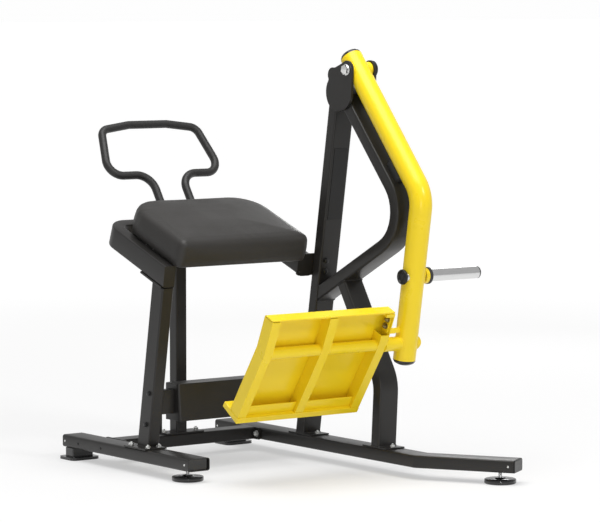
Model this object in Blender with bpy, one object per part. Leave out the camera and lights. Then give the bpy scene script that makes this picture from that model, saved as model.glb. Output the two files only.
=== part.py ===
import math

import bmesh
import bpy
from mathutils import Vector

# Layout axes in metres: +X is the user's right, +Y is the way the user faces, +Z is up.
# FLOOR is the height that the feet stand on, and ORIGIN the point of it that becomes the
# origin of the finished part.
FLOOR = -0.0075
ORIGIN = Vector((-0.22215, -0.26743, FLOOR))

GAP = 0.0002
HOLE_GAP = 0.0003
RUN_GAP = 0.00008

MAIN_X = 0.021
LEFT_X = -0.699
LEFT_RAIL_X = -0.712
LEAN = math.radians(9.5)

RAIL_WIDTH = 0.097
RAIL_HEIGHT = 0.048
RAIL_BOTTOM = 0.038
RAIL_TOP = RAIL_BOTTOM + RAIL_HEIGHT
WALL = 0.003
CORNER = 0.006
RAIL_CORNER = 0.009
FRAME_CORNER = 0.008
LEFT_RAIL_Y = (-0.335, 0.520)
MAIN_RAIL_REAR = 0.533
MAIN_RAIL_BEND = -0.7285
MAIN_RAIL_TURN = math.radians(32.0)
MAIN_RAIL_TOE = 0.373
CAP_RECESS = 0.008
CAP_NOSE = 0.007
CAP_ROUND = 0.003
CAP_DEPTH = 0.014

BEAM_Y = 0.295
BEAM_WIDTH = 0.080
BEAM_FLANGE = 0.008
BEAM_FLANGE_LENGTH = 0.140

REAR_FOOT_Y = 0.480
REAR_FOOT_PLATE = (0.128, 0.108, 0.011)
REAR_FOOT_STUB = (0.094, 0.056)

LEVELLER_RADIUS = 0.0595
LEVELLER_HEIGHT = 0.023
LEVELLER_SOCKET = 0.009
STUD_RADIUS = 0.0068
STUD_TOP = 0.074
LEFT_LEVELLER = Vector((-0.705, -0.252, FLOOR))
MAIN_LEVELLER_REACH = 0.309

BASE_PLATE = 0.006
BASE_PLATE_LENGTH = 0.146
WELD = 0.003

FRAME_TUBE_WIDTH = 0.088
FRAME_TUBE_DEPTH = 0.050
UPRIGHT_FOOT_Y = -0.0235
UPRIGHT_TOP = 1.415
LEG_FOOT_Y = -0.501
LEG_BEND = (-0.5167, 0.3371)
LEG_UPPER_TURN = math.radians(32.2)
LEG_BEND_RADIUS = 0.140
BRACE_UPPER_POINT = (-0.3767, 1.3085)
BRACE_CORNER = (-0.7024, 0.9369)
BRACE_LOWER_POINT = (-0.2775, 0.7158)
BRACE_BEND_RADIUS = 0.150

POST_WIDTH = 0.050
POST_DEPTH = 0.075
POST_FOOT_Y = 0.0203
POST_TOP_PLATE = 0.008
COLUMN_SIZE = 0.050
COLUMN_X = -0.3785
COLUMN_Y = 0.286
COLUMN_PLATE_LENGTH = 0.177

SEAT_TILT = math.radians(20.0)
SEAT_X = -0.3735
SEAT_HALF = 0.3265
SEAT_START = Vector((0.0, -0.122, 0.7445))
SEAT_TUBE_WIDTH = 0.050
SEAT_TUBE_HEIGHT = 0.080
SEAT_CROSS_S = 0.413
SEAT_BEND_RADIUS = 0.062
SEAT_LEFT_END = -0.0075
FLANGE_THICKNESS = 0.008
FLANGE_X = (SEAT_X + SEAT_HALF - 0.045, MAIN_X + 0.039)
FLANGE_HEIGHT = 0.085
FLANGE_CENTRE_Z = 0.751

STRAP = (0.040, 0.006)
STRAP_S = (0.075, 0.285)
PAD_S = (-0.033, 0.390)
PAD_X = -0.3845
PAD_WIDTH = 0.592
PAD_BASE = SEAT_TUBE_HEIGHT / 2 + GAP
BOARD_THICKNESS = 0.015
BOARD_INSET = 0.022
CUSHION_HEIGHT = 0.109
CUSHION_CROWN = 0.012
CUSHION_ROUND = 0.030
CUSHION_BULGE = 0.005
PAD_NEAR_RADIUS = 0.030
PAD_FAR_RADIUS = 0.132

HANDLE_RADIUS = 0.0158
HANDLE_WALL = 0.0022
HANDLE_X = -0.377
HANDLE_TILT = math.radians(34.0)
HANDLE_BASE = Vector((0.0, 0.300, 0.990))
HANDLE_LEG = 0.071
HANDLE_LOW = 0.1245
HANDLE_WIDE = 0.267
HANDLE_BENDS = (0.068, 0.058, 0.042, 0.050)
HANDLE_SHOULDER = (0.222, 0.332)
HANDLE_TOP = (0.088, 0.3525)

TOE_X = (-0.614, -0.084)
TOE_Z = (0.187, 0.327)
TOE_FRONT = (-0.072, -0.057)
TOE_BACK = 0.032
TOE_SHEET = 0.003
TOE_CORNER = 0.010
BRACKET_Z = (0.213, 0.305)
BRACKET_Y = (-0.030, 0.016)
BRACKET_FLANGE = 0.006
BRACKET_FLANGE_Z = (0.140, 0.305)

PIVOT = Vector((MAIN_X, -0.338, 1.507))
FORK_THICKNESS = 0.010
FORK_LEFT = FRAME_TUBE_WIDTH / 2 + GAP
FORK_RIGHT = 0.0542
FORK_LOBE = 0.0345
FORK_BODY = (-0.284, 1.421, 0.074)
FORK_SIDE = (-0.300, 1.421, 0.068)
FORK_REAR_LOBE = (-0.250, 1.486, 0.0285)
FORK_PAD = (-0.268, 1.400)
FORK_PAD_RADIUS = 0.044
PIN_RADIUS = 0.0125
PIN_HEAD = (0.0215, 0.014)
BUSH_RADIUS = 0.0175
BUSH_LENGTH = 0.024
HUB_RADIUS = 0.028
HUB_PLAY = 0.0005
END_DISC = (0.033, 0.010)

LEVER_RADIUS = 0.0425
LEVER_WALL = 0.004
LEVER_APEX = Vector((MAIN_X, -0.730, 1.048))
LEVER_BOTTOM = Vector((MAIN_X, -0.6263, 0.432))
LEVER_ABOVE = 0.059
LEVER_BEND_RADIUS = 0.125
CAP_LIP = 0.004
CAP_DOME = 0.018
CAP_PLUG = 0.015

HORN = Vector((MAIN_X, -0.6791, 0.7455))
HORN_RADIUS = 0.0235
HORN_WALL = 0.003
HORN_X = (-0.027, 0.322)
COLLAR_X = (0.0640, 0.0790)
COLLAR_RADIUS = 0.0300
RING_WIDTH = 0.014
RING_RADIUS = 0.0320
HORN_CAP_RADIUS = 0.0285
HORN_CAP_LENGTH = 0.010

HINGE = Vector((-0.0912, -0.6372, 0.494))
HINGE_HUB_RADIUS = 0.0275
HINGE_HUB_RIGHT = 0.0665
SHAFT_RADIUS = 0.0165
SHAFT_LEFT = -0.190
SHAFT_CAP = (0.0215, 0.010)

FOOT_X = (-0.652, -0.092)
FOOT_TOP = (-0.6683, 0.6417)
FOOT_BEND = (-0.6163, 0.5227)
FOOT_JUNCTION = (-0.4499, 0.2775)
FOOT_SKIN = 0.006
FOOT_SKIN_BEND = 0.0045
RIB_TOP_GAP = 0.0018
RIB_WIDTH = 0.038
RIB_DEPTH = 0.055
RIB_WALL = 0.004
MID_TUBE_RADIUS = 0.0215
MID_TUBE_WALL = 0.0045
LEDGE_THICKNESS = 0.024
LEDGE_FRONT = 0.042
LEDGE_SHEET = 0.005
LUG_HEIGHT = 0.052
LUG_SIZE = (0.014, 0.018)
LUG_LEFT = -0.062
FINGER = 0.008
FINGER_REACH = -0.050
FINGER_PLATE = 0.006
TILT_STOP = math.radians(17.5)
WINDOW_REACH = (0.020, 0.096)
DOUBLER_REACH = (0.024, 0.092)
DOUBLER_DEPTH = (0.012, 0.046)
DOUBLER_THICKNESS = 0.005

BUMPER_Z = 1.110
BUMPER_LENGTH = 0.088
BUMPER_WIDTH = 0.040
PLACARD_Z = (0.930, 1.205)
PLACARD_WIDTH = 0.062
PLACARD_THICKNESS = 0.0015
BOLT_RADIUS = 0.006
BOLT_HEAD = (0.0095, 0.0065)

FINISHES = {
    "charcoal": ((0.050, 0.048, 0.045, 1.0), 0.35, 0.45),
    "yellow": ((0.90, 0.72, 0.02, 1.0), 0.10, 0.30),
    "chrome": ((0.75, 0.75, 0.76, 1.0), 1.00, 0.14),
    "zinc": ((0.50, 0.50, 0.50, 1.0), 1.00, 0.35),
    "bronze": ((0.55, 0.36, 0.14, 1.0), 1.00, 0.35),
    "rubber": ((0.018, 0.018, 0.018, 1.0), 0.00, 0.70),
    "plastic": ((0.022, 0.022, 0.022, 1.0), 0.00, 0.45),
    "cover": ((0.030, 0.029, 0.028, 1.0), 0.00, 0.60),
    "wood": ((0.35, 0.24, 0.14, 1.0), 0.00, 0.70),
}

X_AXIS = Vector((1.0, 0.0, 0.0))
Z_AXIS = Vector((0.0, 0.0, 1.0))
LEAN_UP = Vector((0.0, -math.sin(LEAN), math.cos(LEAN)))
LEAN_FRONT = Vector((0.0, math.cos(LEAN), math.sin(LEAN)))
SEAT_ALONG = Vector((0.0, math.cos(SEAT_TILT), math.sin(SEAT_TILT)))
SEAT_UP = Vector((0.0, -math.sin(SEAT_TILT), math.cos(SEAT_TILT)))
FIXED = Vector((0.0, 0.0, 0.0))


def clear_scene():
    for item in list(bpy.data.objects):
        bpy.data.objects.remove(item, do_unlink=True)


clear_scene()
PARTS = bpy.data.collections.new("glute_kickback_machine")
TOOLS = bpy.data.collections.new("cutters")
bpy.context.scene.collection.children.link(PARTS)
bpy.context.scene.collection.children.link(TOOLS)


def paint(item, finish):
    colour, metallic, roughness = FINISHES[finish]
    surface = bpy.data.materials.new(item.name + "_" + finish)
    surface.use_nodes = True
    shader = surface.node_tree.nodes["Principled BSDF"]
    shader.inputs["Base Color"].default_value = colour
    shader.inputs["Metallic"].default_value = metallic
    shader.inputs["Roughness"].default_value = roughness
    surface.diffuse_color = colour
    item.data.materials.append(surface)


def place(name, builder, finish, origin):
    bmesh.ops.recalc_face_normals(builder, faces=builder.faces)
    bmesh.ops.translate(builder, verts=builder.verts, vec=-origin)
    mesh = bpy.data.meshes.new(name)
    builder.to_mesh(mesh)
    builder.free()
    item = bpy.data.objects.new(name, mesh)
    item.location = origin
    if finish is None:
        TOOLS.objects.link(item)
        item.hide_render = True
        item.display_type = "WIRE"
    else:
        PARTS.objects.link(item)
        paint(item, finish)
    return item


def shell(name, rings, finish, origin=FIXED, loop=False):
    builder = bmesh.new()
    layers = [[builder.verts.new(point) for point in ring] for ring in rings]
    pairs = list(zip(layers, layers[1:]))
    if loop:
        pairs.append((layers[-1], layers[0]))
    else:
        builder.faces.new(layers[0])
        builder.faces.new(layers[-1])
    for lower, upper in pairs:
        for index in range(len(lower)):
            nearby = (index + 1) % len(lower)
            builder.faces.new((lower[index], lower[nearby], upper[nearby], upper[index]))
    return place(name, builder, finish, origin)


def circle(radius, sides=32):
    turns = [2 * math.pi * index / sides for index in range(sides)]
    return [(radius * math.cos(turn), radius * math.sin(turn)) for turn in turns]


def rounded(width, height, radii, steps=3):
    if not isinstance(radii, tuple):
        radii = (radii,) * 4
    signs = ((1, 1), (-1, 1), (-1, -1), (1, -1))
    points = []
    for quarter, (side, level) in enumerate(signs):
        radius = radii[quarter]
        centre_u = side * (width / 2 - radius)
        centre_v = level * (height / 2 - radius)
        for step in range(steps + 1):
            turn = math.pi / 2 * (quarter + step / steps)
            points.append((centre_u + radius * math.cos(turn), centre_v + radius * math.sin(turn)))
    return points


def box_section(width, height, wall=WALL, corner=CORNER):
    outer = rounded(width, height, corner)
    inner = rounded(width - 2 * wall, height - 2 * wall, max(corner - wall, 0.001))
    return outer, inner


def pipe_section(radius, wall, sides):
    return circle(radius, sides), circle(radius - wall, sides)


def fillet(points, radius, steps):
    path = [points[0]]
    radii = radius if isinstance(radius, tuple) else (radius,) * (len(points) - 2)
    for before, corner, after, radius in zip(points, points[1:], points[2:], radii):
        back = (before - corner).normalized()
        ahead = (after - corner).normalized()
        half = back.angle(ahead) / 2
        reach = radius / math.tan(half)
        centre = corner + (back + ahead).normalized() * (radius / math.sin(half))
        first = corner + back * reach - centre
        last = corner + ahead * reach - centre
        sweep_angle = first.angle(last)
        for step in range(steps + 1):
            share = step / steps
            left = math.sin((1 - share) * sweep_angle)
            right = math.sin(share * sweep_angle)
            path.append(centre + (first * left + last * right) / math.sin(sweep_angle))
    path.append(points[-1])
    return path


def sweep_rings(path, side, outline, start=None, end=None):
    tangents = [(after - before).normalized() for before, after in zip(path, path[1:])]
    rings = []
    for index, point in enumerate(path):
        tangent = tangents[min(index, len(tangents) - 1)]
        plane = tangent
        if index == 0 and start is not None:
            plane = start
        elif index == len(path) - 1 and end is not None:
            plane = end
        elif 0 < index < len(path) - 1:
            plane = (tangents[index - 1] + tangents[index]).normalized()
        across = side.cross(tangent).normalized()
        ring = []
        for u, v in outline:
            offset = side * u + across * v
            slide = -offset.dot(plane) / tangent.dot(plane)
            ring.append(point + offset + tangent * slide)
        rings.append(ring)
    return rings


def tube(name, path, side, section, finish, origin=FIXED, start=None, end=None, shut=None):
    outer = sweep_rings(path, side, section[0], start, end)
    if section[1] is None:
        return shell(name, outer, finish, origin)
    if shut is None:
        inner = sweep_rings(path, side, section[1], start, end)
        return shell(name, outer + inner[::-1], finish, origin, loop=True)
    bore = list(path)
    last = -1 if shut == "end" else 0
    inward = path[-2] - path[-1] if shut == "end" else path[1] - path[0]
    bore[last] = path[last] + inward.normalized() * 2 * WALL
    inner = sweep_rings(bore, side, section[1], start, end)
    rings = inner[::-1] + outer if shut == "end" else inner + outer[::-1]
    return shell(name, rings, finish, origin)


def flat(points, thickness, normal, name, finish, origin=FIXED):
    near = [point - normal * thickness / 2 for point in points]
    far = [point + normal * thickness / 2 for point in points]
    return shell(name, [near, far], finish, origin)


def block(name, low, high, finish, origin=FIXED):
    corners = ((low[0], low[1]), (high[0], low[1]), (high[0], high[1]), (low[0], high[1]))
    rings = [[Vector((x, y, z)) for x, y in corners] for z in (low[2], high[2])]
    return shell(name, rings, finish, origin)


def frame_of(axis):
    helper = Z_AXIS if abs(axis.dot(Z_AXIS)) < 0.9 else X_AXIS
    side = helper.cross(axis).normalized()
    return side, axis.cross(side).normalized()


def turned(name, base, axis, profile, finish, origin=FIXED, sides=32, loop=False):
    side, across = frame_of(axis)
    rings = []
    for reach, radius in profile:
        centre = base + axis * reach
        rings.append([centre + side * u + across * v for u, v in circle(radius, sides)])
    return shell(name, rings, finish, origin, loop)


def rod(name, base, axis, length, radius, finish, origin=FIXED, sides=32):
    return turned(name, base, axis, ((0.0, radius), (length, radius)), finish, origin, sides)


def collar(name, base, axis, length, radius, bore, finish, origin=FIXED, sides=32):
    profile = ((0.0, radius), (length, radius), (length, bore), (0.0, bore))
    return turned(name, base, axis, profile, finish, origin, sides, loop=True)


def combine(item, tool, operation="DIFFERENCE"):
    step = item.modifiers.new(tool.name, "BOOLEAN")
    step.operation = operation
    step.solver = "EXACT"
    step.object = tool


def bore_through(item, base, axis, length, radius, sides=32):
    label = item.name + "_bore_" + str(len(item.modifiers))
    combine(item, rod(label, base, axis, length, radius, None, item.location.copy(), sides))


def meet(point, direction, plane_point, plane_normal):
    return point + direction * ((plane_point - point).dot(plane_normal) / direction.dot(plane_normal))


def at_main(y, z):
    return Vector((MAIN_X, y, z))


def seat_point(x, s, n):
    return Vector((x, 0.0, 0.0)) + SEAT_START + SEAT_ALONG * s + SEAT_UP * n


def cap_plug():
    return rounded(RAIL_WIDTH - 2 * WALL - 2 * HOLE_GAP, RAIL_HEIGHT - 2 * WALL - 2 * HOLE_GAP,
                   RAIL_CORNER - WALL)


def recessed_cap(name, end, outward):
    path = [end - outward * (CAP_RECESS + CAP_DEPTH), end - outward * CAP_RECESS]
    side = Z_AXIS.cross(outward)
    tube(name, path, side, (cap_plug(), None), "plastic")


def closed_cap(name, end, outward):
    side = Z_AXIS.cross(outward)
    plug = cap_plug()
    face = rounded(RAIL_WIDTH, RAIL_HEIGHT, RAIL_CORNER)
    nose = rounded(RAIL_WIDTH - 2 * CAP_ROUND, RAIL_HEIGHT - 2 * CAP_ROUND, RAIL_CORNER - CAP_ROUND)
    stages = ((plug, -CAP_DEPTH), (plug, GAP), (face, GAP), (face, CAP_NOSE - CAP_ROUND),
              (nose, CAP_NOSE))
    rings = [[end + outward * reach + side * u + Z_AXIS * v for u, v in outline]
             for outline, reach in stages]
    shell(name, rings, "plastic")


def main_rail_direction():
    return Vector((math.sin(MAIN_RAIL_TURN), -math.cos(MAIN_RAIL_TURN), 0.0))


def build_rails():
    middle = RAIL_BOTTOM + RAIL_HEIGHT / 2
    section = box_section(RAIL_HEIGHT, RAIL_WIDTH, WALL, RAIL_CORNER)
    left_path = [Vector((LEFT_RAIL_X, y, middle)) for y in LEFT_RAIL_Y]
    left = tube("left_base_rail", left_path, Z_AXIS, section, "charcoal")
    corner = Vector((MAIN_X, MAIN_RAIL_BEND, middle))
    toe = corner + main_rail_direction() * MAIN_RAIL_TOE
    main_path = [Vector((MAIN_X, MAIN_RAIL_REAR, middle)), corner, toe]
    main = tube("main_base_rail", main_path, Z_AXIS, section, "charcoal")
    recessed_cap("left_rail_front_cap", left_path[0], Vector((0.0, -1.0, 0.0)))
    closed_cap("left_rail_rear_cap", left_path[1], Vector((0.0, 1.0, 0.0)))
    closed_cap("main_rail_front_cap", toe, main_rail_direction())
    closed_cap("main_rail_rear_cap", main_path[0], Vector((0.0, 1.0, 0.0)))
    return left, main


def main_leveller_spot():
    corner = Vector((MAIN_X, MAIN_RAIL_BEND, FLOOR))
    return corner + main_rail_direction() * MAIN_LEVELLER_REACH


def build_leveller(side, spot, rail):
    radius = LEVELLER_RADIUS
    top = LEVELLER_HEIGHT
    socket = STUD_RADIUS + HOLE_GAP
    profile = ((LEVELLER_SOCKET, socket), (top, socket), (top, 0.017), (top - 0.005, 0.024),
               (top - 0.006, radius - 0.003), (top - 0.009, radius), (0.002, radius),
               (0.0, radius - 0.002))
    turned(side + "_leveller_disc", spot, Z_AXIS, profile, "rubber", spot, 28)
    stud_base = spot + Z_AXIS * (LEVELLER_SOCKET + GAP)
    length = STUD_TOP - stud_base.z
    stud_profile = ((0.0, STUD_RADIUS), (length - 0.001, STUD_RADIUS), (length, STUD_RADIUS - 0.001))
    turned(side + "_leveller_stud", stud_base, Z_AXIS, stud_profile, "chrome", spot, 24)
    start = Vector((spot.x, spot.y, RAIL_BOTTOM - 0.01))
    bore_through(rail, start, Z_AXIS, 0.02, socket, 24)


def build_beam():
    middle = RAIL_BOTTOM + RAIL_HEIGHT / 2
    ends = (LEFT_RAIL_X + RAIL_WIDTH / 2 + GAP, MAIN_X - RAIL_WIDTH / 2 - GAP)
    outer, inner = box_section(BEAM_WIDTH, RAIL_HEIGHT)
    path = [Vector((x, BEAM_Y, middle)) for x in ends]
    across = Vector((0.0, 1.0, 0.0))
    beam = tube("base_cross_beam", path, across, (outer, None), "charcoal")
    plate = rounded(BEAM_FLANGE_LENGTH, RAIL_HEIGHT, 0.004)
    for label, start, step in (("left", path[0], BEAM_FLANGE), ("right", path[1], -BEAM_FLANGE)):
        flange = tube("beam_flange_" + label, [start, start + X_AXIS * step], across,
                      (plate, None), None)
        combine(beam, flange, "UNION")
    reach = X_AXIS * 0.01
    core = tube("beam_bore", [path[0] - reach, path[1] + reach], across, (inner, None), None)
    combine(beam, core)


def build_rear_foot(side, centre_x):
    width, length, thickness = REAR_FOOT_PLATE
    centre = Vector((centre_x, REAR_FOOT_Y, FLOOR))
    foot = tube(side + "_rear_foot", [centre, centre + Z_AXIS * thickness], X_AXIS,
                (rounded(width, length, 0.022, 5), None), "charcoal")
    stub = box_section(REAR_FOOT_STUB[0], REAR_FOOT_STUB[1])
    top = centre + Z_AXIS * (RAIL_BOTTOM - GAP - FLOOR)
    leg = tube(side + "_rear_stub", [centre + Z_AXIS * (thickness - WELD), top], X_AXIS, stub, None)
    combine(foot, leg, "UNION")


def base_plate(item, centre, width, length, vent, vent_centre=None):
    hole = vent_centre or centre
    low = (centre.x - width / 2, centre.y - length / 2, RAIL_TOP + GAP)
    high = (centre.x + width / 2, centre.y + length / 2, RAIL_TOP + GAP + BASE_PLATE)
    plate = block(item.name + "_base", low, high, None)
    combine(item, plate, "UNION")
    cut_low = (hole.x - vent[0] / 2, hole.y - vent[1] / 2, RAIL_TOP - 0.01)
    cut_high = (hole.x + vent[0] / 2, hole.y + vent[1] / 2, RAIL_TOP + 0.008)
    combine(item, block(item.name + "_vent", cut_low, cut_high, None))


def foot_level():
    return RAIL_TOP + GAP + BASE_PLATE - WELD


def build_upright():
    foot = at_main(UPRIGHT_FOOT_Y, foot_level())
    top = foot + LEAN_UP * ((UPRIGHT_TOP - foot.z) / LEAN_UP.z)
    section = box_section(FRAME_TUBE_WIDTH, FRAME_TUBE_DEPTH, WALL, FRAME_CORNER)
    upright = tube("main_upright", [foot, top], X_AXIS, section, "charcoal", start=Z_AXIS, shut="end")
    centre = foot + Vector((0.0, -0.005, 0.0))
    base_plate(upright, centre, FRAME_TUBE_WIDTH, BASE_PLATE_LENGTH, (0.060, 0.030))
    return upright


def upright_face(offset):
    return at_main(UPRIGHT_FOOT_Y, foot_level()) + LEAN_FRONT * offset


def brace_lines():
    upper = at_main(*BRACE_UPPER_POINT)
    corner = at_main(*BRACE_CORNER)
    lower = at_main(*BRACE_LOWER_POINT)
    return upper, corner, lower


def build_brace():
    upper, corner, lower = brace_lines()
    face = upright_face(-FRAME_TUBE_DEPTH / 2 - GAP)
    start = meet(corner, (upper - corner).normalized(), face, LEAN_FRONT)
    end = meet(corner, (lower - corner).normalized(), face, LEAN_FRONT)
    path = fillet([start, corner, end], BRACE_BEND_RADIUS, 10)
    section = box_section(FRAME_TUBE_WIDTH, FRAME_TUBE_DEPTH, WALL, FRAME_CORNER)
    brace = tube("main_brace", path, X_AXIS, section, "charcoal", start=LEAN_FRONT, end=LEAN_FRONT)
    low = (MAIN_X - 0.1, start.y - 0.1, UPRIGHT_TOP)
    high = (MAIN_X + 0.1, start.y + 0.1, UPRIGHT_TOP + 0.15)
    combine(brace, block("brace_top_cut", low, high, None))


def build_leg():
    foot = at_main(LEG_FOOT_Y, foot_level())
    bend = at_main(*LEG_BEND)
    ahead = Vector((0.0, math.sin(LEG_UPPER_TURN), math.cos(LEG_UPPER_TURN)))
    _, corner, lower = brace_lines()
    along = (lower - corner).normalized()
    under = Vector((0.0, along.z, -along.y))
    face = lower + under * (FRAME_TUBE_DEPTH / 2 + GAP)
    top = meet(bend, ahead, face, under)
    path = fillet([foot, bend, top], LEG_BEND_RADIUS, 5)
    section = box_section(FRAME_TUBE_WIDTH, FRAME_TUBE_DEPTH, WALL, FRAME_CORNER)
    leg = tube("curved_leg", path, X_AXIS, section, "charcoal", start=Z_AXIS, end=under)
    base_plate(leg, foot, FRAME_TUBE_WIDTH, BASE_PLATE_LENGTH, (0.060, 0.030))


def build_post():
    foot = Vector((LEFT_X, POST_FOOT_Y, foot_level()))
    drop = SEAT_TUBE_HEIGHT / 2 + GAP + POST_TOP_PLATE - WELD
    top = meet(foot, LEAN_UP, seat_point(LEFT_X, 0.0, -drop), SEAT_UP)
    section = box_section(POST_WIDTH, POST_DEPTH)
    post = tube("seat_post", [foot, top], X_AXIS, section, "charcoal", start=Z_AXIS, end=SEAT_UP)
    centre = Vector((LEFT_RAIL_X, POST_FOOT_Y, 0.0))
    base_plate(post, centre, RAIL_WIDTH, BASE_PLATE_LENGTH, (0.030, 0.050), foot)
    start = seat_point(LEFT_X, -0.004, -SEAT_TUBE_HEIGHT / 2 - GAP - POST_TOP_PLATE / 2)
    path = [start, start + SEAT_ALONG * 0.146]
    plate = tube("seat_post_plate", path, X_AXIS,
                 (rounded(POST_WIDTH + 0.006, POST_TOP_PLATE, 0.001), None), None)
    combine(post, plate, "UNION")
    return post


def build_column():
    foot = Vector((COLUMN_X, COLUMN_Y, foot_level()))
    top = meet(foot, Z_AXIS, seat_point(COLUMN_X, 0.0, -SEAT_TUBE_HEIGHT / 2 - GAP), SEAT_UP)
    section = box_section(COLUMN_SIZE, COLUMN_SIZE)
    column = tube("rear_column", [foot, top], X_AXIS, section, "charcoal", end=SEAT_UP)
    centre = Vector((COLUMN_X + 0.013, BEAM_Y, 0.0))
    base_plate(column, centre, COLUMN_PLATE_LENGTH, BEAM_WIDTH, (0.016, 0.026))


def build_seat_frame():
    left = SEAT_X - SEAT_HALF
    right = SEAT_X + SEAT_HALF
    face = upright_face(FRAME_TUBE_DEPTH / 2 + FLANGE_THICKNESS + 2 * GAP)
    right_start = seat_point(right, 0.0, 0.0)
    right_end = meet(right_start, SEAT_ALONG, face, LEAN_FRONT)
    corners = [seat_point(left, SEAT_LEFT_END, 0.0), seat_point(left, SEAT_CROSS_S, 0.0),
               seat_point(right, SEAT_CROSS_S, 0.0), right_end]
    path = fillet(corners, SEAT_BEND_RADIUS, 5)
    section = box_section(SEAT_TUBE_HEIGHT, SEAT_TUBE_WIDTH)
    tube("seat_frame", path, SEAT_UP, section, "charcoal", start=LEAN_FRONT, end=LEAN_FRONT,
         shut="start")
    return right_end


def flange_point(x, up, depth):
    base = meet(at_main(0.0, FLANGE_CENTRE_Z), Vector((0.0, 1.0, 0.0)), upright_face(0.0), LEAN_FRONT)
    return Vector((x, base.y, base.z)) + LEAN_UP * up + LEAN_FRONT * depth


def build_seat_flange(upright):
    middle_x = (FLANGE_X[0] + FLANGE_X[1]) / 2
    depth = FRAME_TUBE_DEPTH / 2 + GAP
    start = flange_point(middle_x, 0.0, depth)
    path = [start, start + LEAN_FRONT * FLANGE_THICKNESS]
    outline = rounded(FLANGE_X[1] - FLANGE_X[0], FLANGE_HEIGHT, 0.010)
    flange = tube("seat_frame_flange", path, X_AXIS, (outline, None), "charcoal")
    for label, lift in (("upper", 0.021), ("lower", -0.021)):
        head = flange_point(0.004, lift, -FRAME_TUBE_DEPTH / 2 - GAP)
        length = FRAME_TUBE_DEPTH + FLANGE_THICKNESS + 2 * GAP
        bolt = rod(label + "_flange_bolt", head, -LEAN_FRONT, BOLT_HEAD[1], BOLT_HEAD[0],
                   "zinc", sides=24)
        shank = rod(label + "_bolt_shank", head - LEAN_FRONT * 0.003, LEAN_FRONT,
                    length + 0.003 + 0.004, BOLT_RADIUS, None, sides=24)
        combine(bolt, shank, "UNION")
        start = head - LEAN_FRONT * 0.01
        bore_through(upright, start, LEAN_FRONT, 0.1, BOLT_RADIUS + HOLE_GAP, 24)
        bore_through(flange, start, LEAN_FRONT, 0.1, BOLT_RADIUS + HOLE_GAP, 24)
    notch_x = SEAT_X + SEAT_HALF - SEAT_TUBE_WIDTH / 2 - 0.030
    notch = [seat_point(notch_x, -0.10, PAD_BASE + 0.025), seat_point(notch_x, 0.15, PAD_BASE + 0.025)]
    outline = rounded(0.060, 0.056, 0.004)
    combine(flange, tube("flange_notch", notch, X_AXIS, (outline, None), None))
    hole = flange_point(FLANGE_X[0] + 0.010, -0.030, 0.0)
    bore_through(flange, hole, LEAN_FRONT, 0.1, 0.0035, 16)


def build_straps():
    inner = SEAT_HALF - SEAT_TUBE_WIDTH / 2 - GAP
    level = PAD_BASE - GAP - STRAP[1] / 2
    for label, along in (("front", STRAP_S[0]), ("rear", STRAP_S[1])):
        path = [seat_point(SEAT_X - inner, along, level), seat_point(SEAT_X + inner, along, level)]
        outline = rounded(STRAP[0], STRAP[1], 0.001)
        tube(label + "_pad_strap", path, SEAT_ALONG, (outline, None), "charcoal")


def pad_ring(inset, level, scale=1.0):
    length = PAD_S[1] - PAD_S[0]
    middle = (PAD_S[0] + PAD_S[1]) / 2
    far = max(PAD_FAR_RADIUS - inset, 0.004)
    near = max(PAD_NEAR_RADIUS - inset, 0.004)
    outline = rounded(PAD_WIDTH - 2 * inset, length - 2 * inset, (far, far, near, near), 5)
    return [seat_point(PAD_X + u * scale, middle + v * scale, level) for u, v in outline]


def build_pad():
    board = [pad_ring(BOARD_INSET, PAD_BASE), pad_ring(BOARD_INSET, PAD_BASE + BOARD_THICKNESS)]
    shell("pad_board", board, "wood")
    base = PAD_BASE
    pocket = BOARD_INSET - GAP
    rings = [pad_ring(pocket, base + BOARD_THICKNESS + GAP), pad_ring(pocket, base),
             pad_ring(CUSHION_BULGE, base)]
    wall = CUSHION_HEIGHT - CUSHION_ROUND
    for share in (0.12, 0.35, 0.65, 1.0):
        bulge = math.sin(math.pi * min(share, 0.9)) * CUSHION_BULGE
        rings.append(pad_ring(CUSHION_BULGE - bulge, base + wall * share))
    for step in range(1, 6):
        turn = math.pi / 2 * step / 6
        inset = CUSHION_BULGE * 0.7 + CUSHION_ROUND * (1 - math.cos(turn))
        rings.append(pad_ring(inset, base + wall + CUSHION_ROUND * math.sin(turn) * 0.94))
    for scale in (1.0, 0.80, 0.55, 0.25):
        lift = CUSHION_CROWN * (1 - scale * scale)
        rings.append(pad_ring(CUSHION_ROUND + 0.004, base + CUSHION_HEIGHT * 0.985 + lift, scale))
    shell("pad_cushion", rings, "cover")


def handle_point(u, v):
    slope = Vector((0.0, math.sin(HANDLE_TILT), math.cos(HANDLE_TILT)))
    return Vector((HANDLE_X + u, 0.0, 0.0)) + HANDLE_BASE + slope * v


def build_handle():
    slope = Vector((0.0, math.sin(HANDLE_TILT), math.cos(HANDLE_TILT)))
    top_face = seat_point(HANDLE_X, 0.0, SEAT_TUBE_HEIGHT / 2 + GAP)
    foot = meet(handle_point(HANDLE_LEG, 0.0), slope, top_face, SEAT_UP)
    low = (foot - handle_point(HANDLE_LEG, 0.0)).dot(slope)
    half = [(HANDLE_LEG, low), (HANDLE_LEG, HANDLE_LOW), (HANDLE_WIDE, HANDLE_LOW),
            HANDLE_SHOULDER, HANDLE_TOP]
    corners = [handle_point(-u, v) for u, v in half]
    corners += [handle_point(u, v) for u, v in reversed(half)]
    path = fillet(corners, HANDLE_BENDS + HANDLE_BENDS[::-1], 4)
    side = X_AXIS.cross(slope).normalized()
    section = pipe_section(HANDLE_RADIUS, HANDLE_WALL, 12)
    tube("handle_loop", path, side, section, "rubber", start=SEAT_UP, end=SEAT_UP)


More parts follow.
